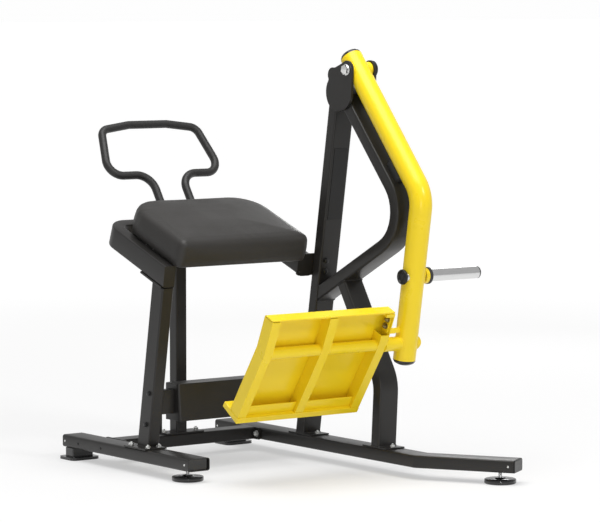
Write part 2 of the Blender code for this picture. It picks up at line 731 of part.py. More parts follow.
def toe_ring(inset, level):
    share = (level - TOE_Z[0]) / (TOE_Z[1] - TOE_Z[0])
    front = TOE_FRONT[0] + (TOE_FRONT[1] - TOE_FRONT[0]) * share + inset
    back = TOE_BACK - inset
    width = TOE_X[1] - TOE_X[0] - 2 * inset
    outline = rounded(width, back - front, TOE_CORNER - inset, 4)
    middle = Vector(((TOE_X[0] + TOE_X[1]) / 2, (front + back) / 2, level))
    return [middle + Vector((u, v, 0.0)) for u, v in outline]


def build_toe_board():
    rings = [toe_ring(TOE_SHEET, TOE_Z[1] - TOE_SHEET), toe_ring(TOE_SHEET, TOE_Z[0]),
             toe_ring(0.0, TOE_Z[0]), toe_ring(0.0, TOE_Z[1] - 0.003), toe_ring(0.002, TOE_Z[1])]
    shell("toe_board", rings, "charcoal")


def build_toe_bracket(side, wall_x, board_x, lean_y):
    step = 1.0 if board_x > wall_x else -1.0
    start = Vector((wall_x + step * GAP, 0.0, 0.0))
    middle_y = (BRACKET_Y[0] + BRACKET_Y[1]) / 2 + lean_y
    middle_z = (BRACKET_Z[0] + BRACKET_Z[1]) / 2
    path = [Vector((start.x, middle_y, middle_z)), Vector((board_x - step * GAP, middle_y, middle_z))]
    outer, inner = box_section(BRACKET_Y[1] - BRACKET_Y[0], BRACKET_Z[1] - BRACKET_Z[0])
    across = Vector((0.0, 1.0, 0.0))
    bracket = tube("toe_board_" + side + "_bracket", path, across, (outer, None), "charcoal")
    low_z, high_z = BRACKET_FLANGE_Z
    x_pair = sorted((start.x, start.x + step * BRACKET_FLANGE))
    flange = block("toe_flange_" + side, (x_pair[0], middle_y - 0.022, low_z),
                   (x_pair[1], middle_y + 0.022, high_z), None)
    combine(bracket, flange, "UNION")
    margin = X_AXIS * 0.01 * step
    core = tube("toe_core_" + side, [path[0] - margin, path[1] + margin], across, (inner, None), None)
    combine(bracket, core)


def arc(centre_y, centre_z, radius, first, last, steps):
    points = []
    for step in range(steps + 1):
        turn = math.radians(first + (last - first) * step / steps)
        points.append((centre_y + radius * math.cos(turn), centre_z + radius * math.sin(turn)))
    return points


def fork_outline():
    points = arc(PIVOT.y, PIVOT.z, FORK_LOBE, 48, 184, 10)
    points += arc(*FORK_SIDE, 180, 262, 7)
    points += arc(*FORK_BODY, 276, 398, 10)
    points += arc(*FORK_REAR_LOBE, -32, 112, 9)
    return points


def fork_plate(name, x, finish):
    points = [Vector((x, y, z)) for y, z in fork_outline()]
    return flat(points, FORK_THICKNESS, X_AXIS, name, finish)


def build_forks():
    left_x = MAIN_X - FORK_LEFT - FORK_THICKNESS / 2
    right_x = MAIN_X + FORK_RIGHT + FORK_THICKNESS / 2
    left = fork_plate("left_fork_plate", left_x, "charcoal")
    right = fork_plate("right_fork_plate", right_x, "charcoal")
    pad_x = MAIN_X + FRAME_TUBE_WIDTH / 2 + GAP
    pad_base = Vector((pad_x, *FORK_PAD))
    pad_length = MAIN_X + FORK_RIGHT + WELD - pad_x
    combine(right, rod("fork_pad", pad_base, X_AXIS, pad_length, FORK_PAD_RADIUS, None), "UNION")
    for plate, x in ((left, left_x), (right, right_x)):
        start = Vector((x - 0.02, PIVOT.y, PIVOT.z))
        bore_through(plate, start, X_AXIS, 0.04, PIN_RADIUS + HOLE_GAP, 36)


def build_pivot():
    left_face = MAIN_X - FORK_LEFT - FORK_THICKNESS
    right_face = MAIN_X + FORK_RIGHT + FORK_THICKNESS
    head_radius, head_length = PIN_HEAD
    base = Vector((left_face - GAP - head_length, PIVOT.y, PIVOT.z))
    length = right_face - base.x + END_DISC[1] * 0.6
    profile = ((0.0, head_radius - 0.004), (0.0025, head_radius), (head_length, head_radius),
               (head_length, PIN_RADIUS), (length, PIN_RADIUS))
    turned("pivot_bolt", base, X_AXIS, profile, "chrome", sides=36)
    disc_base = Vector((right_face + GAP, PIVOT.y, PIVOT.z))
    depth = END_DISC[1] * 0.6 + HOLE_GAP
    bore = PIN_RADIUS + HOLE_GAP
    disc = ((depth, bore), (0.0, bore), (0.0, END_DISC[0]), (END_DISC[1] - 0.003, END_DISC[0]),
            (END_DISC[1], END_DISC[0] - 0.003))
    turned("pivot_end_disc", disc_base, X_AXIS, disc, "plastic", sides=28)


def lever_top_direction():
    return (PIVOT - LEVER_APEX).normalized()


def lever_low_direction():
    return (LEVER_BOTTOM - LEVER_APEX).normalized()


def build_lever():
    top = PIVOT + lever_top_direction() * LEVER_ABOVE
    path = fillet([top, LEVER_APEX, LEVER_BOTTOM], LEVER_BEND_RADIUS, 6)
    section = pipe_section(LEVER_RADIUS, LEVER_WALL, 36)
    lever = tube("lever_tube", path, X_AXIS, section, "yellow", PIVOT)
    cap_profile = ((0.0, LEVER_RADIUS - LEVER_WALL - HOLE_GAP),
                   (CAP_PLUG, LEVER_RADIUS - LEVER_WALL - HOLE_GAP),
                   (CAP_PLUG, LEVER_RADIUS), (CAP_PLUG + CAP_LIP, LEVER_RADIUS),
                   (CAP_PLUG + CAP_LIP + CAP_DOME * 0.45, LEVER_RADIUS * 0.88),
                   (CAP_PLUG + CAP_LIP + CAP_DOME * 0.85, LEVER_RADIUS * 0.55),
                   (CAP_PLUG + CAP_LIP + CAP_DOME, LEVER_RADIUS * 0.16))
    for label, end, out in (("top", top, lever_top_direction()),
                            ("bottom", LEVER_BOTTOM, lever_low_direction())):
        turned("lever_" + label + "_cap", end + out * (GAP - CAP_PLUG), out, cap_profile, "plastic",
               PIVOT, 28)
    return lever


def build_pivot_hub(lever):
    left = MAIN_X - FORK_LEFT + HUB_PLAY
    right = MAIN_X + FORK_RIGHT - HUB_PLAY
    base = Vector((left, PIVOT.y, PIVOT.z))
    collar("pivot_hub", base, X_AXIS, right - left, HUB_RADIUS, BUSH_RADIUS + GAP, "yellow", PIVOT, 36)
    start = Vector((left - 0.02, PIVOT.y, PIVOT.z))
    bore_through(lever, start, X_AXIS, 0.15, HUB_RADIUS + GAP, 36)
    inner = PIN_RADIUS + RUN_GAP
    for label, x in (("left", left), ("right", right - BUSH_LENGTH)):
        collar(label + "_pivot_bush", Vector((x, PIVOT.y, PIVOT.z)), X_AXIS, BUSH_LENGTH, BUSH_RADIUS,
               inner, "bronze", PIVOT, 36)


def build_horn(lever):
    base = Vector((HORN_X[0], HORN.y, HORN.z))
    collar("weight_horn", base, X_AXIS, HORN_X[1] - HORN_X[0], HORN_RADIUS, HORN_RADIUS - HORN_WALL,
           "chrome", PIVOT, 32)
    bore_through(lever, Vector((-0.06, HORN.y, HORN.z)), X_AXIS, 0.17, HORN_RADIUS + GAP, 32)
    hole = HORN_RADIUS + GAP
    start = Vector((COLLAR_X[0], HORN.y, HORN.z))
    collar("horn_collar", start, X_AXIS, COLLAR_X[1] - COLLAR_X[0], COLLAR_RADIUS, hole, "yellow",
           PIVOT, 32)
    ring_base = Vector((COLLAR_X[1] + GAP, HORN.y, HORN.z))
    ring = ((0.0, hole), (0.0, RING_RADIUS - 0.002), (0.002, RING_RADIUS),
            (RING_WIDTH - 0.002, RING_RADIUS), (RING_WIDTH, RING_RADIUS - 0.002), (RING_WIDTH, hole))
    turned("horn_ring", ring_base, X_AXIS, ring, "rubber", PIVOT, 28, loop=True)
    plug = HORN_RADIUS - HORN_WALL - HOLE_GAP
    left = ((0.0, plug), (0.012, plug), (0.012, HORN_CAP_RADIUS), (0.012 + 0.006, HORN_CAP_RADIUS),
            (0.012 + HORN_CAP_LENGTH, HORN_CAP_RADIUS - 0.006))
    turned("horn_left_cap", base + X_AXIS * (0.012 - GAP), -X_AXIS, left, "plastic", PIVOT, 28)
    right = ((0.0, plug), (0.015, plug), (0.015, HORN_RADIUS), (0.018, HORN_RADIUS),
             (0.0225, HORN_RADIUS - 0.004), (0.0245, HORN_RADIUS - 0.010))
    end = Vector((HORN_X[1] - 0.015 + GAP, HORN.y, HORN.z))
    turned("horn_end_cap", end, X_AXIS, right, "chrome", PIVOT, 28)


def build_lower_hub(lever):
    base = Vector(HINGE)
    bore = SHAFT_RADIUS + RUN_GAP
    collar("lower_hub", base, X_AXIS, HINGE_HUB_RIGHT - base.x, HINGE_HUB_RADIUS, bore, "yellow",
           PIVOT, 36)
    start = Vector((-0.05, HINGE.y, HINGE.z))
    bore_through(lever, start, X_AXIS, 0.15, HINGE_HUB_RADIUS + GAP, 36)


def lug_centre():
    return Vector((0.0, HINGE.y, HINGE.z)) - lever_low_direction() * LUG_HEIGHT


def build_stop_lug():
    centre = lug_centre()
    depth, height = LUG_SIZE
    low = (LUG_LEFT, centre.y - depth / 2, centre.z - height / 2)
    high = (MAIN_X - 0.030, centre.y + depth / 2, centre.z + height / 2)
    lug = block("stop_lug", low, high, "yellow", PIVOT)
    start = LEVER_BOTTOM - lever_low_direction() * 0.3
    combine(lug, rod("lug_saddle", start, lever_low_direction(), 0.35, LEVER_RADIUS + GAP, None,
                     PIVOT, 32))


def foot_vectors():
    top = Vector((0.0, *FOOT_TOP))
    bend = Vector((0.0, *FOOT_BEND))
    junction = Vector((0.0, *FOOT_JUNCTION))
    return top, bend, junction


def backward(direction):
    return Vector((0.0, direction.z, -direction.y))


def foot_line(depth, x=0.0):
    top, bend, junction = foot_vectors()
    upper = (bend - top).normalized()
    lower = (junction - bend).normalized()
    side = X_AXIS * x
    half = upper.angle(lower) / 2
    middle = (backward(upper) + backward(lower)).normalized()
    return [top + backward(upper) * depth + side,
            bend + middle * (depth / math.cos(half)) + side,
            junction + backward(lower) * depth + side]


def build_foot_skin():
    top, bend, junction = foot_line(FOOT_SKIN / 2, (FOOT_X[0] + FOOT_X[1]) / 2)
    upper = (bend - top).normalized()
    lift = top + upper * FOOT_SKIN / 2
    flange_end = lift + backward(upper) * (RIB_DEPTH - FOOT_SKIN / 2 - 0.004)
    path = fillet([flange_end, lift, bend, junction], FOOT_SKIN_BEND, 4)
    outline = rounded(FOOT_X[1] - FOOT_X[0], FOOT_SKIN, 0.0015, 2)
    return tube("foot_skin", path, X_AXIS, (outline, None), "yellow", HINGE)


def build_foot_ledge():
    top, bend, junction = foot_vectors()
    lower = (junction - bend).normalized()
    back = backward(lower)
    middle_x = (FOOT_X[0] + FOOT_X[1]) / 2
    centre = junction + lower * (GAP + LEDGE_THICKNESS / 2) + X_AXIS * middle_x
    path = [centre - back * LEDGE_FRONT, centre + back * (RIB_DEPTH + 0.002)]
    outline = rounded(FOOT_X[1] - FOOT_X[0], LEDGE_THICKNESS, 0.004)
    ledge = tube("foot_ledge", path, X_AXIS, (outline, None), "yellow", HINGE)
    inset = back * LEDGE_SHEET
    drop = lower * LEDGE_SHEET
    pocket = rounded(FOOT_X[1] - FOOT_X[0] - 2 * LEDGE_SHEET, LEDGE_THICKNESS, 0.002)
    combine(ledge, tube("ledge_pocket", [path[0] + inset + drop, path[1] - inset + drop], X_AXIS,
                        (pocket, None), None, HINGE))


def build_rib(name, x):
    depth = RIB_DEPTH - FOOT_SKIN - GAP
    width = RIB_WIDTH
    wall = RIB_WALL
    line = foot_line(FOOT_SKIN + GAP, x)
    upper = (line[1] - line[0]).normalized()
    lower = (line[2] - line[1]).normalized()
    line[0] = line[0] + upper * (FOOT_SKIN + RIB_TOP_GAP)
    line[2] = line[2] - lower * GAP
    outline = [(-width / 2, 0.0), (-width / 2, -depth), (width / 2, -depth), (width / 2, 0.0),
               (width / 2 - wall, 0.0), (width / 2 - wall, wall - depth),
               (wall - width / 2, wall - depth), (wall - width / 2, 0.0)]
    return tube(name, line, X_AXIS, (outline, None), "yellow", HINGE)


def build_ribs():
    build_rib("left_rib", FOOT_X[0] + RIB_WIDTH / 2)
    middle_x = (FOOT_X[0] + FOOT_X[1]) / 2
    build_rib("centre_rib", middle_x)
    right = build_rib("right_rib", FOOT_X[1] - RIB_WIDTH / 2)
    hole = SHAFT_RADIUS + GAP
    bore_through(right, Vector((FOOT_X[1] - 0.06, HINGE.y, HINGE.z)), X_AXIS, 0.08, hole, 36)
    spans = (("left", FOOT_X[0] + RIB_WIDTH, middle_x - RIB_WIDTH / 2),
             ("right", middle_x + RIB_WIDTH / 2, FOOT_X[1] - RIB_WIDTH))
    for label, first, last in spans:
        base = Vector((first + GAP, HINGE.y, HINGE.z))
        collar(label + "_mid_tube", base, X_AXIS, last - first - 2 * GAP, MID_TUBE_RADIUS,
               MID_TUBE_RADIUS - MID_TUBE_WALL, "yellow", HINGE, 32)
    return right


def build_shaft():
    base = Vector((SHAFT_LEFT, HINGE.y, HINGE.z))
    length = HINGE_HUB_RIGHT + 0.004 - SHAFT_LEFT
    rod("foot_shaft", base, X_AXIS, length, SHAFT_RADIUS, "zinc", HINGE, 36)
    radius, thickness = SHAFT_CAP
    bore = SHAFT_RADIUS + GAP
    cap_base = Vector((HINGE_HUB_RIGHT + HUB_PLAY, HINGE.y, HINGE.z))
    depth = 0.004 - HUB_PLAY + GAP
    cap = ((depth, bore), (0.0, bore), (0.0, radius), (thickness - 0.002, radius),
           (thickness, radius - 0.003))
    turned("foot_shaft_cap", cap_base, X_AXIS, cap, "yellow", HINGE, 28)


def build_stop_fingers():
    centre = lug_centre()
    half = LUG_SIZE[0] / 2
    reach = LUG_HEIGHT * math.tan(TILT_STOP)
    x_low = FOOT_X[1] + GAP
    height = LUG_SIZE[1] / 2 + 0.001
    low_y = centre.y - half - GAP - FINGER
    high_y = centre.y + half + reach + FINGER
    plate = block("stop_fingers", (x_low, low_y, centre.z - height),
                  (x_low + FINGER_PLATE, high_y, centre.z + height), "yellow", HINGE)
    spans = ((low_y, low_y + FINGER), (high_y - FINGER, high_y))
    for index, (first, last) in enumerate(spans):
        finger = block("finger_" + str(index), (x_low + FINGER_PLATE / 2, first, centre.z - height),
                       (FINGER_REACH, last, centre.z + height), None, HINGE)
        combine(plate, finger, "UNION")


def plate_patch(reach, depth, x):
    top, bend, _ = foot_vectors()
    upper = (bend - top).normalized()
    back = backward(upper)
    corners = ((reach[0], depth[0]), (reach[1], depth[0]), (reach[1], depth[1]), (reach[0], depth[1]))
    return [top + upper * along + back * inward + X_AXIS * x for along, inward in corners]


def build_corner_bracket(right_rib):
    wall_face = FOOT_X[1] - RIB_WALL
    cut = RIB_WIDTH
    window = plate_patch(WINDOW_REACH, (FOOT_SKIN - 0.002, RIB_DEPTH + 0.01), wall_face - cut / 2)
    combine(right_rib, flat(window, cut, X_AXIS, "rib_window", None, HINGE))
    middle = wall_face - GAP - DOUBLER_THICKNESS / 2
    patch = plate_patch(DOUBLER_REACH, DOUBLER_DEPTH, middle)
    flat(patch, DOUBLER_THICKNESS, X_AXIS, "corner_bracket", "yellow", HINGE)


def build_bumper():
    upper, corner, _ = brace_lines()
    along = (corner - upper).normalized()
    out = Vector((0.0, along.z, -along.y))
    if out.y > 0:
        out = -out
    share = (BUMPER_Z - upper.z) / along.z
    base = upper + along * share + out * (FRAME_TUBE_DEPTH / 2 + GAP)
    lever_axis = lever_top_direction()
    lever_side = Vector((0.0, lever_axis.z, -lever_axis.y))
    face = PIVOT + lever_side * (LEVER_RADIUS + 2 * GAP)
    rings = []
    for u, v in rounded(BUMPER_WIDTH, BUMPER_LENGTH, 0.006):
        near = base + X_AXIS * u + along * v
        rings.append((near, meet(near, out, face, lever_side)))
    shell("stop_bumper", [[pair[0] for pair in rings], [pair[1] for pair in rings]], "rubber")


def build_placard():
    low, high = PLACARD_Z
    start = upright_face(-FRAME_TUBE_DEPTH / 2 - GAP)
    middle = start + LEAN_UP * (((low + high) / 2 - start.z) / LEAN_UP.z)
    length = (high - low) / LEAN_UP.z
    outline = rounded(PLACARD_WIDTH, length, 0.003)
    path = [middle, middle - LEAN_FRONT * PLACARD_THICKNESS]
    tube("placard", path, X_AXIS, (outline, None), "plastic")


def build_all():
    left_rail, main_rail = build_rails()
    build_beam()
    build_rear_foot("left", LEFT_RAIL_X)
    build_rear_foot("main", MAIN_X)
    build_leveller("left", LEFT_LEVELLER, left_rail)
    build_leveller("main", main_leveller_spot(), main_rail)
    upright = build_upright()
    build_brace()
    build_leg()
    build_post()
    build_column()
    build_seat_frame()
    build_seat_flange(upright)
    build_straps()
    build_pad()
    build_handle()
    build_toe_board()
    build_toe_bracket("left", LEFT_X + POST_WIDTH / 2, TOE_X[0], 0.0)
    build_toe_bracket("right", MAIN_X - FRAME_TUBE_WIDTH / 2, TOE_X[1], -0.036)
    build_forks()
    build_pivot()
    lever = build_lever()
    build_pivot_hub(lever)
    build_horn(lever)
    build_lower_hub(lever)
    build_stop_lug()
    build_foot_skin()
    build_foot_ledge()
    right_rib = build_ribs()
    build_shaft()
    build_stop_fingers()
    build_corner_bracket(right_rib)
    build_bumper()
    build_placard()


build_all()
for group in (PARTS, TOOLS):
    for item in group.objects:
        item.location = item.location - ORIGIN
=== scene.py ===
import math
import bpy
from mathutils import Matrix, Vector


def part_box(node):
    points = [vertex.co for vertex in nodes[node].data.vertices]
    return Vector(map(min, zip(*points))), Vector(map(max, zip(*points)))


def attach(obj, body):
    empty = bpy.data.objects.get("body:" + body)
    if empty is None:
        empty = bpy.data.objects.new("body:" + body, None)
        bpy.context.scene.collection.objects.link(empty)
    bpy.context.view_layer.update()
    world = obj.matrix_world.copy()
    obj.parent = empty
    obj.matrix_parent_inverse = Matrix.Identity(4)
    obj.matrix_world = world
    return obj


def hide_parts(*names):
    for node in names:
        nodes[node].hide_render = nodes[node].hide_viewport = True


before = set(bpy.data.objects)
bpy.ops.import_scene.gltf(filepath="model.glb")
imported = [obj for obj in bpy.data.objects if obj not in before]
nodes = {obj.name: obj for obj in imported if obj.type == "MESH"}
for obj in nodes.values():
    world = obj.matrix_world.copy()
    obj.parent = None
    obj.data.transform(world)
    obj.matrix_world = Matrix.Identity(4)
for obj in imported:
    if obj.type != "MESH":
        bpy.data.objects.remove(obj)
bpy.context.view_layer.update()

# Lengths are metres. The drawing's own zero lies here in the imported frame.
drawingZero = Vector((-0.22215, -0.26743, -0.0075))
across = Vector((1, 0, 0))
upward = Vector((0, 0, 1))
lean = math.radians(9.5)
leanUp = Vector((0, -math.sin(lean), math.cos(lean)))
leanFront = Vector((0, math.cos(lean), math.sin(lean)))
seatTilt, seatZero = math.radians(20), (-0.122, 0.7445)
seatAlong = Vector((0, math.cos(seatTilt), math.sin(seatTilt)))
seatUp = Vector((0, -math.sin(seatTilt), math.cos(seatTilt)))

# Shared lines of the drawing: the middle of each rail, half a rail's width and its middle height, the top of
# the base plates, the main rail's turn toward its toe, and the upright's foot. Small pieces stand off the face
# that they sit on, and corners within joinWithin become one.
leftRail, mainRail, railHalf, railMid, plateTop = -0.712, 0.021, 0.0485, 0.062, 0.0922
toeBend, toeTurn = Vector((mainRail, -0.7285, railMid)), math.radians(32)
toeWay = Vector((math.sin(toeTurn), -math.cos(toeTurn), 0))
toeSide = Vector((-math.cos(toeTurn), -math.sin(toeTurn), 0))
uprightY, uprightLow, uprightHalf = -0.0235, 0.089, 0.0252
standOff, joinWithin = 0.0002, 0.00002


def at(x, y, z):
    return Vector((x, y, z)) - drawingZero


def seatSpot(x, along, height):
    return at(x, *seatZero) + seatAlong * along + seatUp * height


def newGroup(name, inputs):
    # every finish takes a place and puts out a colour, a roughness and a height
    group = bpy.data.node_groups.new(name, "ShaderNodeTree")
    group.interface.new_socket(name="Vector", in_out="INPUT", socket_type="NodeSocketVector")
    for label, kind, value in inputs:
        socket = group.interface.new_socket(name=label, in_out="INPUT", socket_type="NodeSocket" + kind)
        socket.default_value = value
    for label, kind in (("Colour", "Color"), ("Roughness", "Float"), ("Height", "Float")):
        group.interface.new_socket(name=label, in_out="OUTPUT", socket_type="NodeSocket" + kind)
    return group, group.nodes.new("NodeGroupInput"), group.nodes.new("NodeGroupOutput")


def addNode(tree, kind, values=(), **options):
    node = tree.nodes.new("ShaderNode" + kind)
    for key, value in options.items():
        setattr(node, key, value)
    for key, value in dict(values).items():
        node.inputs[key].default_value = value
    return node


def wire(tree, *runs):
    # each run is (from node, its socket, to node, its socket)
    for start, leaving, end, entering in runs:
        tree.links.new(start.outputs[leaving], end.inputs[entering])


def wireGloss(group, goes, comes, source, leaving):
    # a cloudy value becomes a roughness between the two gloss inputs
    gloss = addNode(group, "MapRange", {"From Min": 0.3, "From Max": 0.7})
    wire(group, (source, leaving, gloss, "Value"), (goes, "Gloss Low", gloss, "To Min"),
         (goes, "Gloss High", gloss, "To Max"), (gloss, "Result", comes, "Roughness"))


def makeCoatGroup():
    # orange peel of sprayed powder, with a slow change of shade and of gloss
    group, goes, comes = newGroup("coatPeel", [
        ("Colour", "Color", (0.5, 0.5, 0.5, 1)), ("Dusty", "Color", (0.6, 0.6, 0.6, 1)), ("Peel", "Float", 520.0),
        ("Cloud", "Float", 5.0), ("Gloss Low", "Float", 0.3), ("Gloss High", "Float", 0.4)])
    peel = addNode(group, "TexNoise", {"Detail": 3.0, "Roughness": 0.55})
    cloud = addNode(group, "TexNoise", {"Detail": 5.0, "Roughness": 0.6})
    specks = addNode(group, "TexNoise", {"Scale": 2600.0, "Detail": 1.0})
    spread = addNode(group, "MapRange", {"From Min": 0.35, "From Max": 0.75, "To Min": 0.0, "To Max": 0.55})
    mixing = addNode(group, "Mix", data_type="RGBA")
    height = addNode(group, "Math", {1: 0.25}, operation="MULTIPLY_ADD")
    wire(group, (goes, "Vector", peel, "Vector"), (goes, "Peel", peel, "Scale"),
         (goes, "Vector", cloud, "Vector"), (goes, "Cloud", cloud, "Scale"), (goes, "Vector", specks, "Vector"),
         (cloud, "Fac", spread, "Value"), (spread, "Result", mixing, "Factor"), (goes, "Colour", mixing, "A"),
         (goes, "Dusty", mixing, "B"), (mixing, "Result", comes, "Colour"), (specks, "Fac", height, 0),
         (peel, "Fac", height, 2), (height, "Value", comes, "Height"))
    wireGloss(group, goes, comes, cloud, "Fac")
    return group


def makeCellGroup():
    # pebbled skin: small rounded cells with creases between them, in two sizes; the creases are painted darker as
    # painted shade
    group, goes, comes = newGroup("pebbleGrain", [
        ("Colour", "Color", (0.1, 0.1, 0.1, 1)), ("Crease", "Color", (0.05, 0.05, 0.05, 1)),
        ("Cells", "Float", 620.0), ("Gloss Low", "Float", 0.4), ("Gloss High", "Float", 0.6)])
    warp = addNode(group, "TexNoise", {"Scale": 90.0, "Detail": 2.0})
    shift = addNode(group, "VectorMath", {"Scale": 0.0012}, operation="SCALE")
    moved = addNode(group, "VectorMath", operation="ADD")
    cells = addNode(group, "TexVoronoi", feature="SMOOTH_F1", values={"Smoothness": 0.6})
    cloud = addNode(group, "TexNoise", {"Scale": 7.0, "Detail": 4.0})
    dome = addNode(group, "MapRange", {"From Min": 0.05, "From Max": 0.75, "To Min": 1.0, "To Max": 0.0},
                   interpolation_type="SMOOTHSTEP")
    # the cell's dome also mixes in the darker crease colour: painted shade in the creases
    mixing = addNode(group, "Mix", data_type="RGBA")
    wire(group, (goes, "Vector", warp, "Vector"), (warp, "Color", shift, 0), (goes, "Vector", moved, 0),
         (shift, "Vector", moved, 1), (moved, "Vector", cells, "Vector"), (goes, "Cells", cells, "Scale"),
         (goes, "Vector", cloud, "Vector"), (cells, "Distance", dome, "Value"), (dome, "Result", comes, "Height"),
         (dome, "Result", mixing, "Factor"), (goes, "Crease", mixing, "A"), (goes, "Colour", mixing, "B"),
         (mixing, "Result", comes, "Colour"))
    wireGloss(group, goes, comes, cloud, "Fac")
    return group


def makeStreakGroup():
    # long fine lines, from drawing, turning or wood grain; Stretch sets which way they run
    group, goes, comes = newGroup("fineStreaks", [
        ("Colour", "Color", (0.5, 0.5, 0.5, 1)), ("Line", "Color", (0.4, 0.4, 0.4, 1)),
        ("Stretch", "Vector", (40.0, 900.0, 900.0)), ("Gloss Low", "Float", 0.15), ("Gloss High", "Float", 0.3)])
    scaled = addNode(group, "VectorMath", operation="MULTIPLY")
    lines = addNode(group, "TexNoise", {"Scale": 1.0, "Detail": 4.0, "Roughness": 0.65})
    cloud = addNode(group, "TexNoise", {"Scale": 14.0, "Detail": 3.0})
    mixing = addNode(group, "Mix", data_type="RGBA")
    half = addNode(group, "Math", {1: 0.5}, operation="MULTIPLY")
    both = addNode(group, "Math", {1: 0.5}, operation="MULTIPLY_ADD")
    wire(group, (goes, "Vector", scaled, 0), (goes, "Stretch", scaled, 1), (scaled, "Vector", lines, "Vector"),
         (goes, "Vector", cloud, "Vector"), (lines, "Fac", mixing, "Factor"), (goes, "Colour", mixing, "A"),
         (goes, "Line", mixing, "B"), (mixing, "Result", comes, "Colour"), (cloud, "Fac", half, 0),
         (lines, "Fac", both, 0), (half, "Value", both, 2), (lines, "Fac", comes, "Height"))
    wireGloss(group, goes, comes, both, "Value")
    return group


def makeSurface(name, group, values, gloss, bump, **shaderValues):
    # gloss is the roughness from and to, bump its strength and height
    material = bpy.data.materials.new(name)
    material.use_nodes = True
    tree = material.node_tree
    shader = tree.nodes["Principled BSDF"]
    for key, value in shaderValues.items():
        shader.inputs[key.replace("_", " ")].default_value = value
    place = addNode(tree, "TexCoord")
    effect = addNode(tree, "Group")
    effect.node_tree = group
    for key, value in (*values.items(), *zip(("Gloss Low", "Gloss High"), gloss)):
        effect.inputs[key].default_value = value
    relief = addNode(tree, "Bump", dict(zip(("Strength", "Distance"), bump)))
    wire(tree, (place, "Object", effect, "Vector"), (effect, "Colour", shader, "Base Color"),
         (effect, "Roughness", shader, "Roughness"), (effect, "Height", relief, "Height"),
         (relief, "Normal", shader, "Normal"))
    material.diffuse_color = values["Colour"]
    return material


def grey(value, warm=0.0):
    return (value * (1 + warm), value, value * (1 - warm), 1)


coatPeel, pebbleGrain, fineStreaks = makeCoatGroup(), makeCellGroup(), makeStreakGroup()

frameCoat = makeSurface("charcoalPowderCoat", coatPeel, {
    "Colour": (0.0185, 0.0175, 0.0165, 1), "Dusty": (0.024, 0.0225, 0.021, 1), "Peel": 620.0, "Cloud": 6.0},
    (0.30, 0.40), (0.22, 0.0004), Specular_IOR_Level=0.28)
yellowCoat = makeSurface("yellowPowderCoat", coatPeel, {
    "Colour": (0.90, 0.665, 0.012, 1), "Dusty": (0.86, 0.62, 0.016, 1), "Peel": 420.0, "Cloud": 5.0},
    (0.26, 0.36), (0.18, 0.0004), Specular_IOR_Level=0.32, Coat_Weight=0.10, Coat_Roughness=0.16)
# The darker crease colour of each pebbled finish below is painted shade in the creases between its cells.
gripRubber = makeSurface("blackGripRubber", pebbleGrain, {
    "Colour": grey(0.020, 0.04), "Crease": grey(0.011, 0.04), "Cells": 900.0},
    (0.42, 0.52), (0.25, 0.0002), Specular_IOR_Level=0.36)
stopRubber = makeSurface("blackStopRubber", pebbleGrain, {
    "Colour": grey(0.022), "Crease": grey(0.012), "Cells": 1100.0},
    (0.55, 0.68), (0.3, 0.0002))
glossPlastic = makeSurface("blackGlossPlastic", coatPeel, {
    "Colour": grey(0.006), "Dusty": grey(0.010), "Peel": 260.0, "Cloud": 18.0},
    (0.07, 0.14), (0.05, 0.0004), Specular_IOR_Level=0.5)
capPlastic = makeSurface("blackCapPlastic", pebbleGrain, {
    "Colour": grey(0.010, 0.03), "Crease": grey(0.007, 0.03), "Cells": 1500.0},
    (0.30, 0.42), (0.15, 0.0002), Specular_IOR_Level=0.28)
padVinyl = makeSurface("charcoalVinyl", pebbleGrain, {
    "Colour": (0.036, 0.034, 0.032, 1), "Crease": (0.026, 0.0245, 0.023, 1), "Cells": 700.0},
    (0.38, 0.50), (0.25, 0.0003), Specular_IOR_Level=0.26)
plyBoard = makeSurface("darkPlywood", fineStreaks, {
    "Colour": (0.26, 0.17, 0.10, 1), "Line": (0.14, 0.085, 0.045, 1), "Stretch": (9.0, 160.0, 160.0)},
    (0.6, 0.8), (0.25, 0.0004))
brightChrome = makeSurface("brightChrome", fineStreaks, {
    "Colour": grey(0.62), "Line": grey(0.50), "Stretch": (30.0, 260.0, 260.0)},
    (0.12, 0.20), (0.03, 0.0002), Metallic=1.0)
drawnSteel = makeSurface("drawnSteel", fineStreaks, {
    "Colour": grey(0.60), "Line": grey(0.47), "Stretch": (900.0, 40.0, 40.0)},
    (0.20, 0.34), (0.10, 0.0002), Metallic=1.0)
zincPlate = makeSurface("zincPlate", fineStreaks, {
    "Colour": (0.66, 0.66, 0.64, 1), "Line": (0.48, 0.49, 0.48, 1), "Stretch": (160.0, 160.0, 160.0)},
    (0.24, 0.40), (0.08, 0.0002), Metallic=1.0)
polishedZinc = makeSurface("polishedZinc", fineStreaks, {
    "Colour": (0.86, 0.86, 0.84, 1), "Line": (0.60, 0.60, 0.60, 1), "Stretch": (90.0, 90.0, 90.0)},
    (0.10, 0.24), (0.06, 0.0002), Metallic=1.0)
passivatedZinc = makeSurface("passivatedZinc", fineStreaks, {
    "Colour": (0.36, 0.29, 0.13, 1), "Line": (0.20, 0.165, 0.08, 1), "Stretch": (160.0, 160.0, 160.0)},
    (0.22, 0.38), (0.08, 0.0002), Metallic=1.0)
blackOxide = makeSurface("blackenedSteel", fineStreaks, {
    "Colour": grey(0.040), "Line": grey(0.024), "Stretch": (300.0, 300.0, 300.0)},
    (0.30, 0.44), (0.10, 0.0002), Metallic=0.6)
turnedBronze = makeSurface("turnedBronze", fineStreaks, {
    "Colour": (0.58, 0.38, 0.16, 1), "Line": (0.44, 0.27, 0.10, 1), "Stretch": (1200.0, 60.0, 60.0)},
    (0.26, 0.42), (0.10, 0.0002), Metallic=1.0)
print("materials ready")


def clearSelection():
    if bpy.context.object and bpy.context.object.mode != "OBJECT":
        bpy.ops.object.mode_set(mode="OBJECT")
    bpy.ops.object.select_all(action="DESELECT")


def pick(piece):
    clearSelection()
    piece.select_set(True)
    bpy.context.view_layer.objects.active = piece


